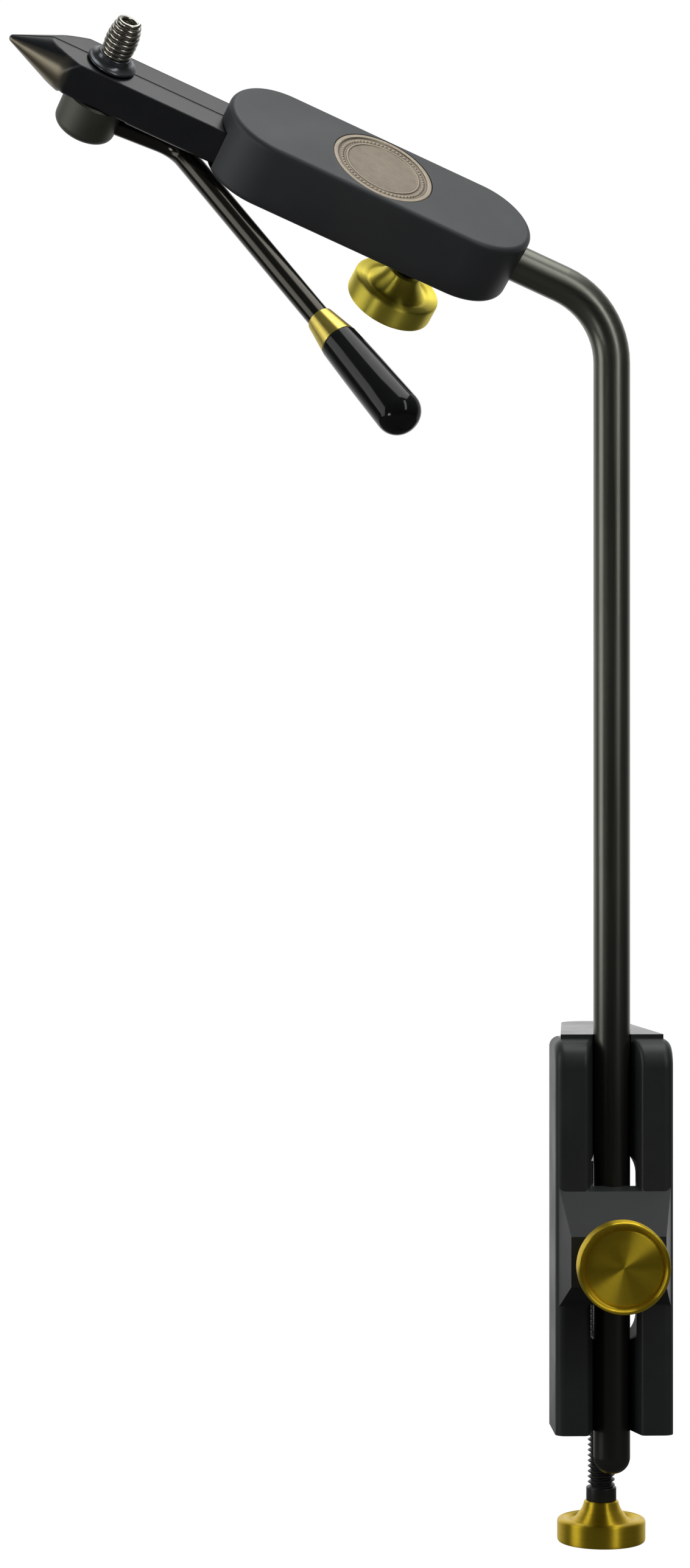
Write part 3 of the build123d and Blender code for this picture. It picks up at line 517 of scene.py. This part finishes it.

# %% [markdown]
# The stem and the lever's rod are drawn steel, blued to gun-metal. Drawing leaves fine lines along the rod,
# and bluing leaves a warm, slightly olive tint between them. On the stem the lines follow the rod round its
# bend. Unwrapping the rod could do that, but here two sets of lines, one for each straight part, are blended
# across the bend. Towards the foot, which the clamp covers, a painted shade darkens the stem downwards.

# %% Gun-metal rods
DRAWN_LINES = 1100.0
BEND_SPAN = (0.178, 0.190)
FOOT_SHADE_SPAN = (-0.012, 0.050)
FOOT_SHADE = (0.070, 0.071, 0.062)


def gunmetal(name, centre, axis, dark, light, rough, bent=False):
    """Blued steel drawn along an axis; the bent stem has a second set of lines and a painted shade towards its
    foot.
    """
    material, tree, shader = new_finish(name)
    marks = place_group(tree, lines, Centre=centre, Axis=axis, Line_Size=DRAWN_LINES)
    texture = place_group(tree, grain, Blotch_Size=35.0)
    drawn = marks.outputs["Lines"]
    if bent:
        neck = place_group(tree, lines, Centre=CORNER, Axis=ALONG, Line_Size=DRAWN_LINES)
        past = ranged(tree, marks.outputs["Depth"], BEND_SPAN)
        below = math_node(tree, "MULTIPLY", drawn, math_node(tree, "SUBTRACT", 1.0, past))
        above = math_node(tree, "MULTIPLY", neck.outputs["Lines"], past)
        drawn = math_node(tree, "ADD", below, above)
    colour = mixed(tree, math_node(tree, "MULTIPLY", drawn, texture.outputs["Blotch"]), dark, light)
    # Painted shade: the stem's colour darkens towards its foot, where less light reaches it.
    if bent:
        foot = ranged(tree, marks.outputs["Depth"], FOOT_SHADE_SPAN, (1.0, 0.0))
        colour = mixed(tree, foot, colour, FOOT_SHADE)
    feed(tree, shader.inputs["Base Color"], colour)
    feed(tree, shader.inputs["Roughness"], ranged(tree, drawn, to=(rough - 0.04, rough + 0.05)))
    shader.inputs["Metallic"].default_value = 0.9
    bump(tree, shader, drawn, SKIN_DEPTH, strength=0.03)
    return material


stem_gunmetal = gunmetal(
    "stem_gunmetal", STEM_FOOT, (0, 0, 1),
    dark=(0.165, 0.168, 0.140), light=(0.205, 0.208, 0.178), rough=0.32, bent=True,
)
dress(stem_gunmetal, "stem")
rod_gunmetal = gunmetal(
    "rod_gunmetal", ROD_BEND, LEVER_AXIS,
    dark=(0.046, 0.044, 0.037), light=(0.064, 0.061, 0.052), rough=0.15,
)
dress(rod_gunmetal, "lever_rod")

# %% [markdown]
# The jaws are hardened steel with a black skin, ground flat above and turned to a cone at the nose. Along the
# lower flank of the nose a painted highlight, a band of bronze-coloured metal, stands for the streak of light
# that falls there. It could be painted on a texture, but two masks place it: the distance along the jaw, and
# how far a face looks up or down. They turn with the head and need no unwrapping. A third mask is a painted
# shade line in the split where the two jaws meet.

# %% Jaw masks
NOSE_SPAN = (0.1515, 0.1548)
FLAT_SPAN = (0.15, 0.6)
BELLY_SPAN = (-0.9, -0.45)
SPLIT_SHADE_SPAN = (0.00010, 0.00028)
jaw_black, tree, shader = new_finish("jaw_black")
cone = place_group(tree, lines, Centre=CORNER, Axis=ALONG)
surface = tree.nodes.new("ShaderNodeNewGeometry")
to_jaw = tree.nodes.new("ShaderNodeVectorTransform")
to_jaw.vector_type = "NORMAL"
to_jaw.convert_from = "WORLD"
to_jaw.convert_to = "OBJECT"
feed(tree, to_jaw.inputs[0], surface.outputs["Normal"])
looks_up = vector_node(tree, "DOT_PRODUCT", to_jaw.outputs[0], FACING).outputs["Value"]
off_flat = ranged(tree, looks_up, FLAT_SPAN, (1.0, 0.0))
off_belly = ranged(tree, looks_up, BELLY_SPAN, (0.15, 1.0))
sheen_flank = math_node(tree, "MULTIPLY", off_flat, off_belly)
nose_sheen = math_node(tree, "MULTIPLY", ranged(tree, cone.outputs["Depth"], NOSE_SPAN), sheen_flank)
where = tree.nodes.new("ShaderNodeTexCoord").outputs["Object"]
from_corner = vector_node(tree, "SUBTRACT", where, CORNER).outputs[0]
beside = vector_node(tree, "DOT_PRODUCT", from_corner, ACROSS).outputs["Value"]
split_shade = ranged(tree, math_node(tree, "ABSOLUTE", beside), SPLIT_SHADE_SPAN, (1.0, 0.0))
print("jaw masks: nose and seam")

# %% [markdown]
# The masks lead from the black skin to the painted bronze highlight. Wear along the edges goes on top, made
# strong enough to be a painted highlight along the jaws' lower edge as well, and the painted shade in the split
# is dark and dull. On the real jaws the long edges are broken by hand. A bevel on the mesh would show that, but
# a CAD solid keeps its mesh, so a soft normal rounds the edges by about a millimetre in the shading.

# %% Blackened jaws
NOSE_SHEEN_BRONZE = (0.26, 0.23, 0.165)
JAW_WEAR_AND_GLINT = (0.17, 0.175, 0.185)
SPLIT_SHADE_BLACK = (0.002, 0.002, 0.002)
NOSE_METAL = 0.95
EDGE_ROUND = 0.0011
texture = place_group(tree, grain, Size=1300.0, Blotch_Size=90.0)
edges = place_group(tree, wear, Width=0.0005, Amount=0.9)
skin = mixed(tree, texture.outputs["Blotch"], (0.012, 0.0135, 0.0155), (0.016, 0.0175, 0.020))
# Painted highlight: a band of bronze-coloured metal on the lower flank of the nose.
with_nose_sheen = mixed(tree, nose_sheen, skin, NOSE_SHEEN_BRONZE)
# Wear along the edges, made strong enough to be a painted highlight along the lower edge too.
rubbed = mixed(tree, edges.outputs["Mask"], with_nose_sheen, JAW_WEAR_AND_GLINT)
# Painted shade: a dark, dull line in the split between the two jaws.
feed(tree, shader.inputs["Base Color"], mixed(tree, split_shade, rubbed, SPLIT_SHADE_BLACK))
feed(tree, shader.inputs["Metallic"], math_node(tree, "MULTIPLY", nose_sheen, NOSE_METAL))
polished = ranged(tree, texture.outputs["Blotch"], to=(0.26, 0.32))
feed(tree, shader.inputs["Roughness"], math_node(tree, "ADD", polished, split_shade, clamp=True))
rounded = tree.nodes.new("ShaderNodeBevel")
rounded.samples = BEVEL_SAMPLES
rounded.inputs["Radius"].default_value = EDGE_ROUND
bump(tree, shader, texture.outputs["Height"], SKIN_DEPTH, strength=0.05, normal=rounded.outputs[0])
dress(jaw_black, "near_jaw", "far_jaw")

# %% [markdown]
# The lever's hub and the swivel pad are blackened steel too, without the painted bronze highlight on the nose.
# They could share one material, but the hub is paler and duller, so one function makes such a skin in any
# depth and gloss. The screws and the collar further on use it as well.

# %% Black oxide steel
OXIDE_WORN = (0.20, 0.20, 0.20)


def black_oxide(name, dark, light, rough, metal, worn=0.55, relief=0.2):
    """A black oxide skin on steel, with wear along its edges and a fine relief."""
    material, tree, shader = new_finish(name)
    texture = place_group(tree, grain, Size=1300.0, Blotch_Size=90.0)
    edges = place_group(tree, wear, Width=0.0004, Amount=worn)
    skin = mixed(tree, texture.outputs["Blotch"], dark, light)
    feed(tree, shader.inputs["Base Color"], mixed(tree, edges.outputs["Mask"], skin, OXIDE_WORN))
    dull = ranged(tree, texture.outputs["Blotch"], to=(rough - 0.04, rough + 0.06))
    feed(tree, shader.inputs["Roughness"], dull)
    shader.inputs["Metallic"].default_value = metal
    bump(tree, shader, texture.outputs["Height"], SKIN_DEPTH, strength=relief)
    return material


hub_black = black_oxide("hub_black", (0.115, 0.117, 0.098), (0.145, 0.147, 0.123), rough=0.53, metal=0.85)
dress(hub_black, "lever_hub", "cam_shaft", "hub_set_screw")
screw_black = black_oxide("screw_black", (0.040, 0.041, 0.040), (0.060, 0.061, 0.058), rough=0.36, metal=0.6)
dress(screw_black, "swivel_pad")

# %% [markdown]
# The springs, the pins and the snap ring are bright steel wire and rod. Clean steel would mirror the room, so
# a little dull film lies on it in small blotches.

# %% Bright spring steel
spring_bright, tree, shader = new_finish("spring_bright")
texture = place_group(tree, grain, Size=1600.0, Blotch_Size=400.0)
film = texture.outputs["Blotch"]
feed(tree, shader.inputs["Base Color"], mixed(tree, film, (0.40, 0.38, 0.33), (0.50, 0.48, 0.43)))
feed(tree, shader.inputs["Roughness"], ranged(tree, film, to=(0.20, 0.30)))
shader.inputs["Metallic"].default_value = 1.0
bump(tree, shader, texture.outputs["Height"], SKIN_DEPTH, strength=0.03)
dress(spring_bright, "jaw_pivot_pins", "pad_snap_ring")

# %% [markdown]
# The thumb knobs, the ferrule, the grip and the collar are turned on a lathe. Stacked cylinders would have
# hard corners, which turned pieces don't. A lathe sweeps a profile round an axis, and Blender's spin does the
# same to a chain of edges, so each corner of the profile is first eased into a small curve. Profiles are in
# millimetres, as radius, distance along and ease.

# %% Lathe
def eased(corners, steps=6):
    """The profile's points, with each corner (radius, distance, ease) eased into a small curve."""
    points = []
    for index, (radius, distance, ease) in enumerate(corners):
        here = Vector((radius, distance))
        if not ease:
            points.append(here)
            continue
        back = Vector(corners[index - 1][:2]) - here
        ahead = Vector(corners[index + 1][:2]) - here
        start = here + back.normalized() * min(ease, back.length / 2)
        end = here + ahead.normalized() * min(ease, ahead.length / 2)
        for step in range(steps + 1):
            share = step / steps
            points.append(start * (1 - share) ** 2 + here * 2 * share * (1 - share) + end * share ** 2)
    return points


def spin_profile(shape, base, axis, points, steps, climb=0.0, turns=1.0):
    """Sweeps a profile round an axis; with a climb in millimetres per turn it becomes a helix."""
    side = axis.orthogonal().normalized()
    chain = [shape.verts.new(base + (side * p.x + axis * p.y) * MM) for p in points]
    edges = [shape.edges.new(pair) for pair in zip(chain, chain[1:])]
    count = round(steps * turns)
    bmesh.ops.spin(shape, geom=chain + edges, cent=base, axis=axis, dvec=axis * climb * MM / steps,
                   angle=2 * pi * count / steps, steps=count)


print("lathe ready")

# %% [markdown]
# A turned piece takes the place of the plain solid that the imported model has there. It could be laid over the
# solid, but then two surfaces would fight, so the piece replaces it and moves with the same body. Edges
# sharper than 40 degrees stay crisp, and everything else is shaded smooth.

# %% Turned pieces
SHARP_ANGLE = radians(40)


def object_from(name, shape):
    """Closes the seams of a swept shape and makes an object of it."""
    bmesh.ops.remove_doubles(shape, verts=shape.verts, dist=1e-6)
    bmesh.ops.recalc_face_normals(shape, faces=shape.faces)
    mesh = bpy.data.meshes.new(name)
    shape.to_mesh(mesh)
    shape.free()
    mesh.shade_smooth()
    mesh.set_sharp_from_angle(angle=SHARP_ANGLE)
    piece = bpy.data.objects.new(name, mesh)
    bpy.context.scene.collection.objects.link(piece)
    return piece


def lathe(name, base, axis, corners, steps=96):
    """A piece turned about an axis."""
    shape = bmesh.new()
    spin_profile(shape, base, axis, eased(corners), steps)
    return object_from(name, shape)


def fit(piece, body, node, material):
    """Puts a piece on its body, in place of a CAD node, with a finish."""
    piece.data.materials.append(material)
    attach(piece, body)
    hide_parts(node)
    print(piece.name, "in place of", node)


print("edges stay crisp above", round(SHARP_ANGLE, 3), "rad")

# %% [markdown]
# The knobs and the lever's ferrule are turned from brass bar and lacquered. The tool leaves fine rings round
# each axis, which stretch a highlight across them: on the flat of a knob it becomes the bow-tie of light that
# turns with the eye. Rings cut into the mesh would need far too many faces. A tangent that runs across the
# rings and a stretched (anisotropic) gloss give the same light.

# %% Turned brass
def turned_brass(name, centre, axis, light, dark, rough):
    """Brass turned about an axis, between a clean colour and the colour of its film."""
    material, tree, shader = new_finish(name)
    marks = place_group(tree, lines, Centre=centre, Axis=axis, Ring_Size=3500.0)
    texture = place_group(tree, grain, Blotch_Size=140.0)
    rings = marks.outputs["Rings"]
    film = math_node(tree, "MULTIPLY", texture.outputs["Blotch"], rings)
    feed(tree, shader.inputs["Base Color"], mixed(tree, film, light, dark))
    feed(tree, shader.inputs["Roughness"], ranged(tree, rings, to=(rough - 0.02, rough + 0.03)))
    shader.inputs["Metallic"].default_value = 0.90
    shader.inputs["Anisotropic"].default_value = 0.97
    where = tree.nodes.new("ShaderNodeTexCoord").outputs["Object"]
    arm = vector_node(tree, "SUBTRACT", where, centre).outputs[0]
    to_world = tree.nodes.new("ShaderNodeVectorTransform")
    to_world.vector_type = "VECTOR"
    to_world.convert_from = "OBJECT"
    to_world.convert_to = "WORLD"
    feed(tree, to_world.inputs[0], vector_node(tree, "CROSS_PRODUCT", axis, arm).outputs[0])
    surface = tree.nodes.new("ShaderNodeNewGeometry")
    over_rings = vector_node(tree, "CROSS_PRODUCT", surface.outputs["Normal"], to_world.outputs[0])
    feed(tree, shader.inputs["Tangent"], over_rings.outputs[0])
    bump(tree, shader, rings, SKIN_DEPTH, strength=0.02)
    return material


# The palest brass, on the knob under the head, is partly painted light for the shade it sits in.
PALE_AND_LIFTED_BRASS = ((0.97, 0.83, 0.12), (0.90, 0.74, 0.09))
RICH_BRASS = ((0.88, 0.64, 0.04), (0.76, 0.51, 0.025))
# The ferrule's brass is paler partly as a painted reflection of white.
BRASS_WITH_REFLECTION = ((0.93, 0.76, 0.18), (0.82, 0.64, 0.12))
SATIN, POLISHED, SHINY = 0.48, 0.36, 0.35
print("brass in three depths, roughness", SHINY, "to", SATIN)

# %% [markdown]
# One profile serves all three thumb knobs: a conical neck, a dished back, a rim with rounded lips and a flat,
# slightly sunken face. The parting tool left a narrow groove between lip and face, which shows as a dark
# ring. Three meshes could be made one by one, but a loop turns the same profile at each knob's own base and
# axis. The two on the clamp are a deeper brass than the one under the head, whose paler brass is partly its
# lacquer and partly painted light that lifts it out of the shade under the head. The one on the clamp's front
# is the shiniest.

# %% Thumb knobs
KNOB_PROFILE = [
    (0, 0.0, 0), (4.5, 0.0, 0.3), (5.0, 1.9, 1.0), (7.0, 4.6, 0.8), (8.1, 5.4, 0.5), (9.0, 4.75, 0.5),
    (11.75, 4.75, 0.8), (11.75, 10.7, 1.0), (10.75, 10.7, 0.4), (10.4, 9.25, 0.2), (9.7, 9.25, 0.2),
    (9.5, 9.7, 0.15), (5.0, 9.65, 0.5), (0, 9.65, 0),
]
KNOB_STEPS = 128
DOWN = Vector((0, 0, -1))
FRONT = Vector((0, -1, 0))
STEM_KNOB = Vector((0, -41.7, -48.0)) * MM
CLAMP_KNOB = Vector((0, 0, -117.2)) * MM
HEAD_KNOB = in_head(52.2, 0, -15.65)
for name, base, axis, body, colours, rough in (
    ("clamp_knob", CLAMP_KNOB, DOWN, "screw", RICH_BRASS, SATIN),
    ("stem_lock_knob", STEM_KNOB, FRONT, "stem_lock", RICH_BRASS, SHINY),
    ("head_lock_knob", HEAD_KNOB, -FACING, "head_lock", PALE_AND_LIFTED_BRASS, SATIN),
):
    knob = lathe(name + "_turned", base, axis, KNOB_PROFILE, KNOB_STEPS)
    fit(knob, body, name, turned_brass(name + "_brass", base, axis, *colours, rough))

# %% [markdown]
# The ferrule is a short brass cone between the rod and the grip. A plain cone would end in knife edges, so it
# is turned like the knobs. Its brass is polished, and paler because a painted reflection of white is mixed in.

# %% Ferrule
SLEEVE_BORE = 3.02
FERRULE_START, FERRULE_END = 68.2, 76.7
ferrule = lathe("ferrule_turned", ROD_BEND, LEVER_AXIS, [
    (SLEEVE_BORE, FERRULE_START, 0), (3.5, FERRULE_START, 0.25),
    (4.85, FERRULE_END, 0.2), (SLEEVE_BORE, FERRULE_END, 0),
])
ferrule_brass = turned_brass("ferrule_brass", ROD_BEND, LEVER_AXIS, *BRASS_WITH_REFLECTION, POLISHED)
fit(ferrule, "lever", "lever_ferrule", ferrule_brass)

# %% [markdown]
# The grip is dipped in black plastic and stays glossy. It swells towards its end and closes in a round nose.
# A stretched ball would be too pointed there, so a quarter circle ends the profile. A slow, shallow ripple
# keeps its long reflections from looking like glass.

# %% Dipped grip
grip_black, tree, shader = new_finish("grip_black")
texture = place_group(tree, grain, Size=160.0, Blotch_Size=70.0)
blotch = texture.outputs["Blotch"]
feed(tree, shader.inputs["Base Color"], mixed(tree, blotch, (0.007, 0.008, 0.008), (0.012, 0.013, 0.013)))
feed(tree, shader.inputs["Roughness"], ranged(tree, blotch, to=(0.07, 0.12)))
shader.inputs["Specular IOR Level"].default_value = 0.25
bump(tree, shader, texture.outputs["Height"], 2 * SKIN_DEPTH, strength=0.02)
GRIP_RADIUS = 5.83
GRIP_TIP = 108.4
NOSE_ROUND = 5.2
NOSE_STEPS = 10
nose_turns = [radians(90.0 * step / NOSE_STEPS) for step in range(NOSE_STEPS + 1)]
grip = lathe("grip_dipped", ROD_BEND, LEVER_AXIS, [
    (SLEEVE_BORE, FERRULE_END, 0), (4.95, FERRULE_END, 0.5), (5.5, 90.0, 6.0),
    *[(GRIP_RADIUS - NOSE_ROUND * (1 - cos(a)), GRIP_TIP - NOSE_ROUND * (1 - sin(a)), 0) for a in nose_turns],
    (0, GRIP_TIP, 0),
])
fit(grip, "lever", "lever_grip", grip_black)

# %% [markdown]
# The collar on top of the cam shaft is a low blackened bell with a recess that holds the spring's foot. The
# recess could be cut out afterwards, but one profile turns bell and recess together with clean faces. The
# real one is polished, so its hollow flank picks up a bright spot on either side.

# %% Spring collar
collar_black = black_oxide(
    "collar_black", (0.095, 0.102, 0.112), (0.125, 0.132, 0.142),
    rough=0.22, metal=0.7, worn=0.1, relief=0.03,
)
collar = lathe("collar_turned", in_head(CAM_ALONG), FACING, [
    (2.01, 3.3, 0), (6.4, 3.3, 0.3), (6.4, 3.9, 0.35), (4.9, 4.6, 1.2), (4.3, 6.2, 0.35), (3.7, 6.2, 0.2),
    (3.7, 4.2, 0.2), (2.01, 4.2, 0), (2.01, 3.3, 0),
])
fit(collar, "lever", "spring_collar", collar_black)

# %% [markdown]
# The clamp screw and the two lock screws are threaded steel. A bump could draw a thread, but its outline
# would stay straight. A thread is one tooth swept round the axis while it climbs, so the lathe's sweep makes
# it too, with a climb of one pitch per turn. A plain core fills its middle.

# %% Clamp screw
ORIGIN = Vector((0, 0, 0))
UP = Vector((0, 0, 1))
CLAMP_PITCH = 1.41
TOOTH_DEPTH = 0.55
THREAD_STEPS = 32


def thread(shape, base, axis, start, end, crest, pitch):
    """A right-hand thread between two distances along an axis."""
    root = crest - TOOTH_DEPTH * pitch
    tooth = [(root, 0.0), (crest, 0.40), (crest, 0.52), (root, 0.92), (root, 1.0)]
    points = [Vector((radius, start + share * pitch)) for radius, share in tooth]
    spin_profile(shape, base, axis, points, THREAD_STEPS, climb=pitch, turns=(end - start) / pitch - 1)


shape = bmesh.new()
spin_profile(shape, ORIGIN, UP, eased([
    (0, -124.7, 0), (3.175, -124.7, 0), (3.175, -117.2, 0), (4.0, -117.2, 0.3), (4.0, -113.5, 0.3),
    (2.83, -113.5, 0), (2.83, -34.2, 0), (3.55, -33.6, 0), (3.55, -32.0, 0.3), (2.5, -32.0, 0),
    (2.5, -29.9, 0), (2.0, -29.9, 0), (2.0, -29.1, 0), (2.5, -29.1, 0), (2.5, -28.3, 0.3), (0, -28.3, 0),
]), steps=64)
thread(shape, ORIGIN, UP, start=-114.8, end=-33.0, crest=3.6, pitch=CLAMP_PITCH)
fit(object_from("clamp_screw_threaded", shape), "screw", "clamp_screw", screw_black)

# %% [markdown]
# The two lock screws sit in their knobs and press on the stem with a plain tip, one in the clamp and one in
# the head. Each could have its own cell, but they differ only in length, so one loop makes both.

# %% Lock screws
LOCK_PITCH = 1.27
for name, base, axis, tip, body in (
    ("stem_lock_screw", STEM_KNOB, FRONT, 12.8875, "stem_lock"),
    ("head_lock_screw", HEAD_KNOB, -FACING, 11.6375, "head_lock"),
):
    shape = bmesh.new()
    spin_profile(shape, base, axis, eased([
        (0, 7.4, 0), (2.47, 7.4, 0), (2.47, 2.6 - tip, 0.2),
        (2.2, 1.6 - tip, 0), (2.2, -tip, 0.3), (0, -tip, 0),
    ]), steps=48)
    thread(shape, base, axis, start=2.4 - tip, end=2.0, crest=3.15, pitch=LOCK_PITCH)
    fit(object_from(name + "_threaded", shape), body, name, screw_black)

# %% [markdown]
# A spring is a wire wound into a helix. The lathe's sweep could wind one, but a curve with a round bevel is
# simpler: its points run up the helix, and the radius may change from foot to head.

# %% Coil
POINTS_PER_TURN = 28


def coil(name, base, axis, side, low, high, turns, wire, radius_at):
    """A round wire wound about an axis from one height to another."""
    other = axis.cross(side)
    curve = bpy.data.curves.new(name, "CURVE")
    curve.dimensions = "3D"
    curve.bevel_depth = wire / 2 * MM
    curve.bevel_resolution = 4
    curve.use_fill_caps = True
    count = round(turns * POINTS_PER_TURN) + 1
    spline = curve.splines.new("POLY")
    spline.points.add(count - 1)
    for index, point in enumerate(spline.points):
        share = index / (count - 1)
        angle = 2 * pi * turns * share
        ring = (side * cos(angle) + other * sin(angle)) * radius_at(share)
        point.co = (*(base + (ring + axis * (low + (high - low) * share)) * MM), 1)
    spline.use_smooth = True
    piece = bpy.data.objects.new(name, curve)
    bpy.context.scene.collection.objects.link(piece)
    return piece


print("coils have", POINTS_PER_TURN, "points per turn")

# %% [markdown]
# The barrel spring on the collar keeps loose thread out of the way, and the small one between the jaw tails
# keeps the jaws shut. The barrel could be a stack of rings, but a parabola gives its wire the swelling
# middle in one winding. The tail spring stays straight.

# %% Springs
BARREL_FOOT, BARREL_MIDDLE, BARREL_HEAD = 2.75, 3.6, 2.4
TAIL_SPRING = in_head(87.0, 0, -2.2)
TAIL_SPRING_RADIUS = 2.3


def barrel(share):
    """Radius of the barrel spring: a parabola through its foot, middle and head."""
    foot = BARREL_FOOT * (1 - share) * (1 - 2 * share)
    head = BARREL_HEAD * share * (2 * share - 1)
    return foot + 4 * BARREL_MIDDLE * share * (1 - share) + head


def straight(share):
    """Radius of the tail spring, the same all along."""
    return TAIL_SPRING_RADIUS


barrel_spring = coil("material_spring_coil", in_head(CAM_ALONG), FACING, ALONG,
                     low=4.9, high=16.0, turns=8.5, wire=1.22, radius_at=barrel)
fit(barrel_spring, "lever", "material_spring", spring_bright)
tail_spring = coil("jaw_spring_coil", TAIL_SPRING, ACROSS, ALONG,
                   low=-3.9, high=3.9, turns=6.0, wire=0.8, radius_at=straight)
fit(tail_spring, "head", "jaw_spring", spring_bright)

# %% [markdown]
# The medallion is a cast bronze disc let into the head. It carries only a rim, a ring of beads and a plain
# field. The disc is turned. Its beads could be small balls, but waves on a flat ring make the same low domes
# with no hidden halves.

# %% Medallion
MEDAL = in_head(69.7, 0, 8.75)
BEADS = 64
BEAD_STEPS = BEADS * 8
BEAD_FOOT, BEAD_RISE, BEAD_ROUND = -0.36, 0.24, 0.8
shape = bmesh.new()
spin_profile(shape, MEDAL, FACING, eased([
    (0, -0.30, 0), (9.6, -0.34, 0.3), (9.8, -0.16, 0.08), (10.2, -0.16, 0.08), (10.4, -0.35, 0.1),
    (12.2, -0.35, 0.1), (12.6, 0.0, 0.2), (13.6, 0.0, 0.15), (13.82, -0.25, 0.1), (13.82, -1.4, 0),
    (0, -1.4, 0),
]), steps=144)
bead_rings = []
for radius, swell in ((10.75, 0.0), (10.95, 0.7), (11.3, 1.0), (11.65, 0.7), (11.85, 0.0)):
    ring = []
    for step in range(BEAD_STEPS):
        angle = 2 * pi * step / BEAD_STEPS
        height = BEAD_FOOT + BEAD_RISE * swell * abs(sin(BEADS * angle / 2)) ** BEAD_ROUND
        offset = ALONG * cos(angle) * radius + ACROSS * sin(angle) * radius + FACING * height
        ring.append(shape.verts.new(MEDAL + offset * MM))
    bead_rings.append(ring)
for inner, outer in zip(bead_rings, bead_rings[1:]):
    for step in range(BEAD_STEPS):
        shape.faces.new((inner[step - 1], inner[step], outer[step], outer[step - 1]))
print("medallion with", BEADS, "beads and", len(shape.faces), "faces")

# %% [markdown]
# Antiqued bronze is dark in the hollows and rubbed bright on what stands up. The hollows could be found by
# rays, but on a flat disc the height above the field says the same at no cost.

# %% Antiqued bronze
RELIEF_SPAN = (-0.00036, -0.00008)
RUBBED_FIELD = 0.45
bronze, tree, shader = new_finish("medal_bronze")
blotch = place_group(tree, grain, Blotch_Size=420.0).outputs["Blotch"]
marks = place_group(tree, lines, Centre=MEDAL, Axis=FACING)
stands_up = ranged(tree, marks.outputs["Depth"], RELIEF_SPAN)
rubbed = math_node(tree, "ADD", stands_up, math_node(tree, "MULTIPLY", blotch, RUBBED_FIELD), clamp=True)
feed(tree, shader.inputs["Base Color"], mixed(tree, rubbed, (0.15, 0.122, 0.088), (0.33, 0.28, 0.21)))
feed(tree, shader.inputs["Roughness"], ranged(tree, blotch, to=(0.36, 0.48)))
shader.inputs["Metallic"].default_value = 0.6
bump(tree, shader, blotch, 10 * SKIN_DEPTH, strength=0.35)
fit(object_from("medallion_cast", shape), "head", "medallion", bronze)
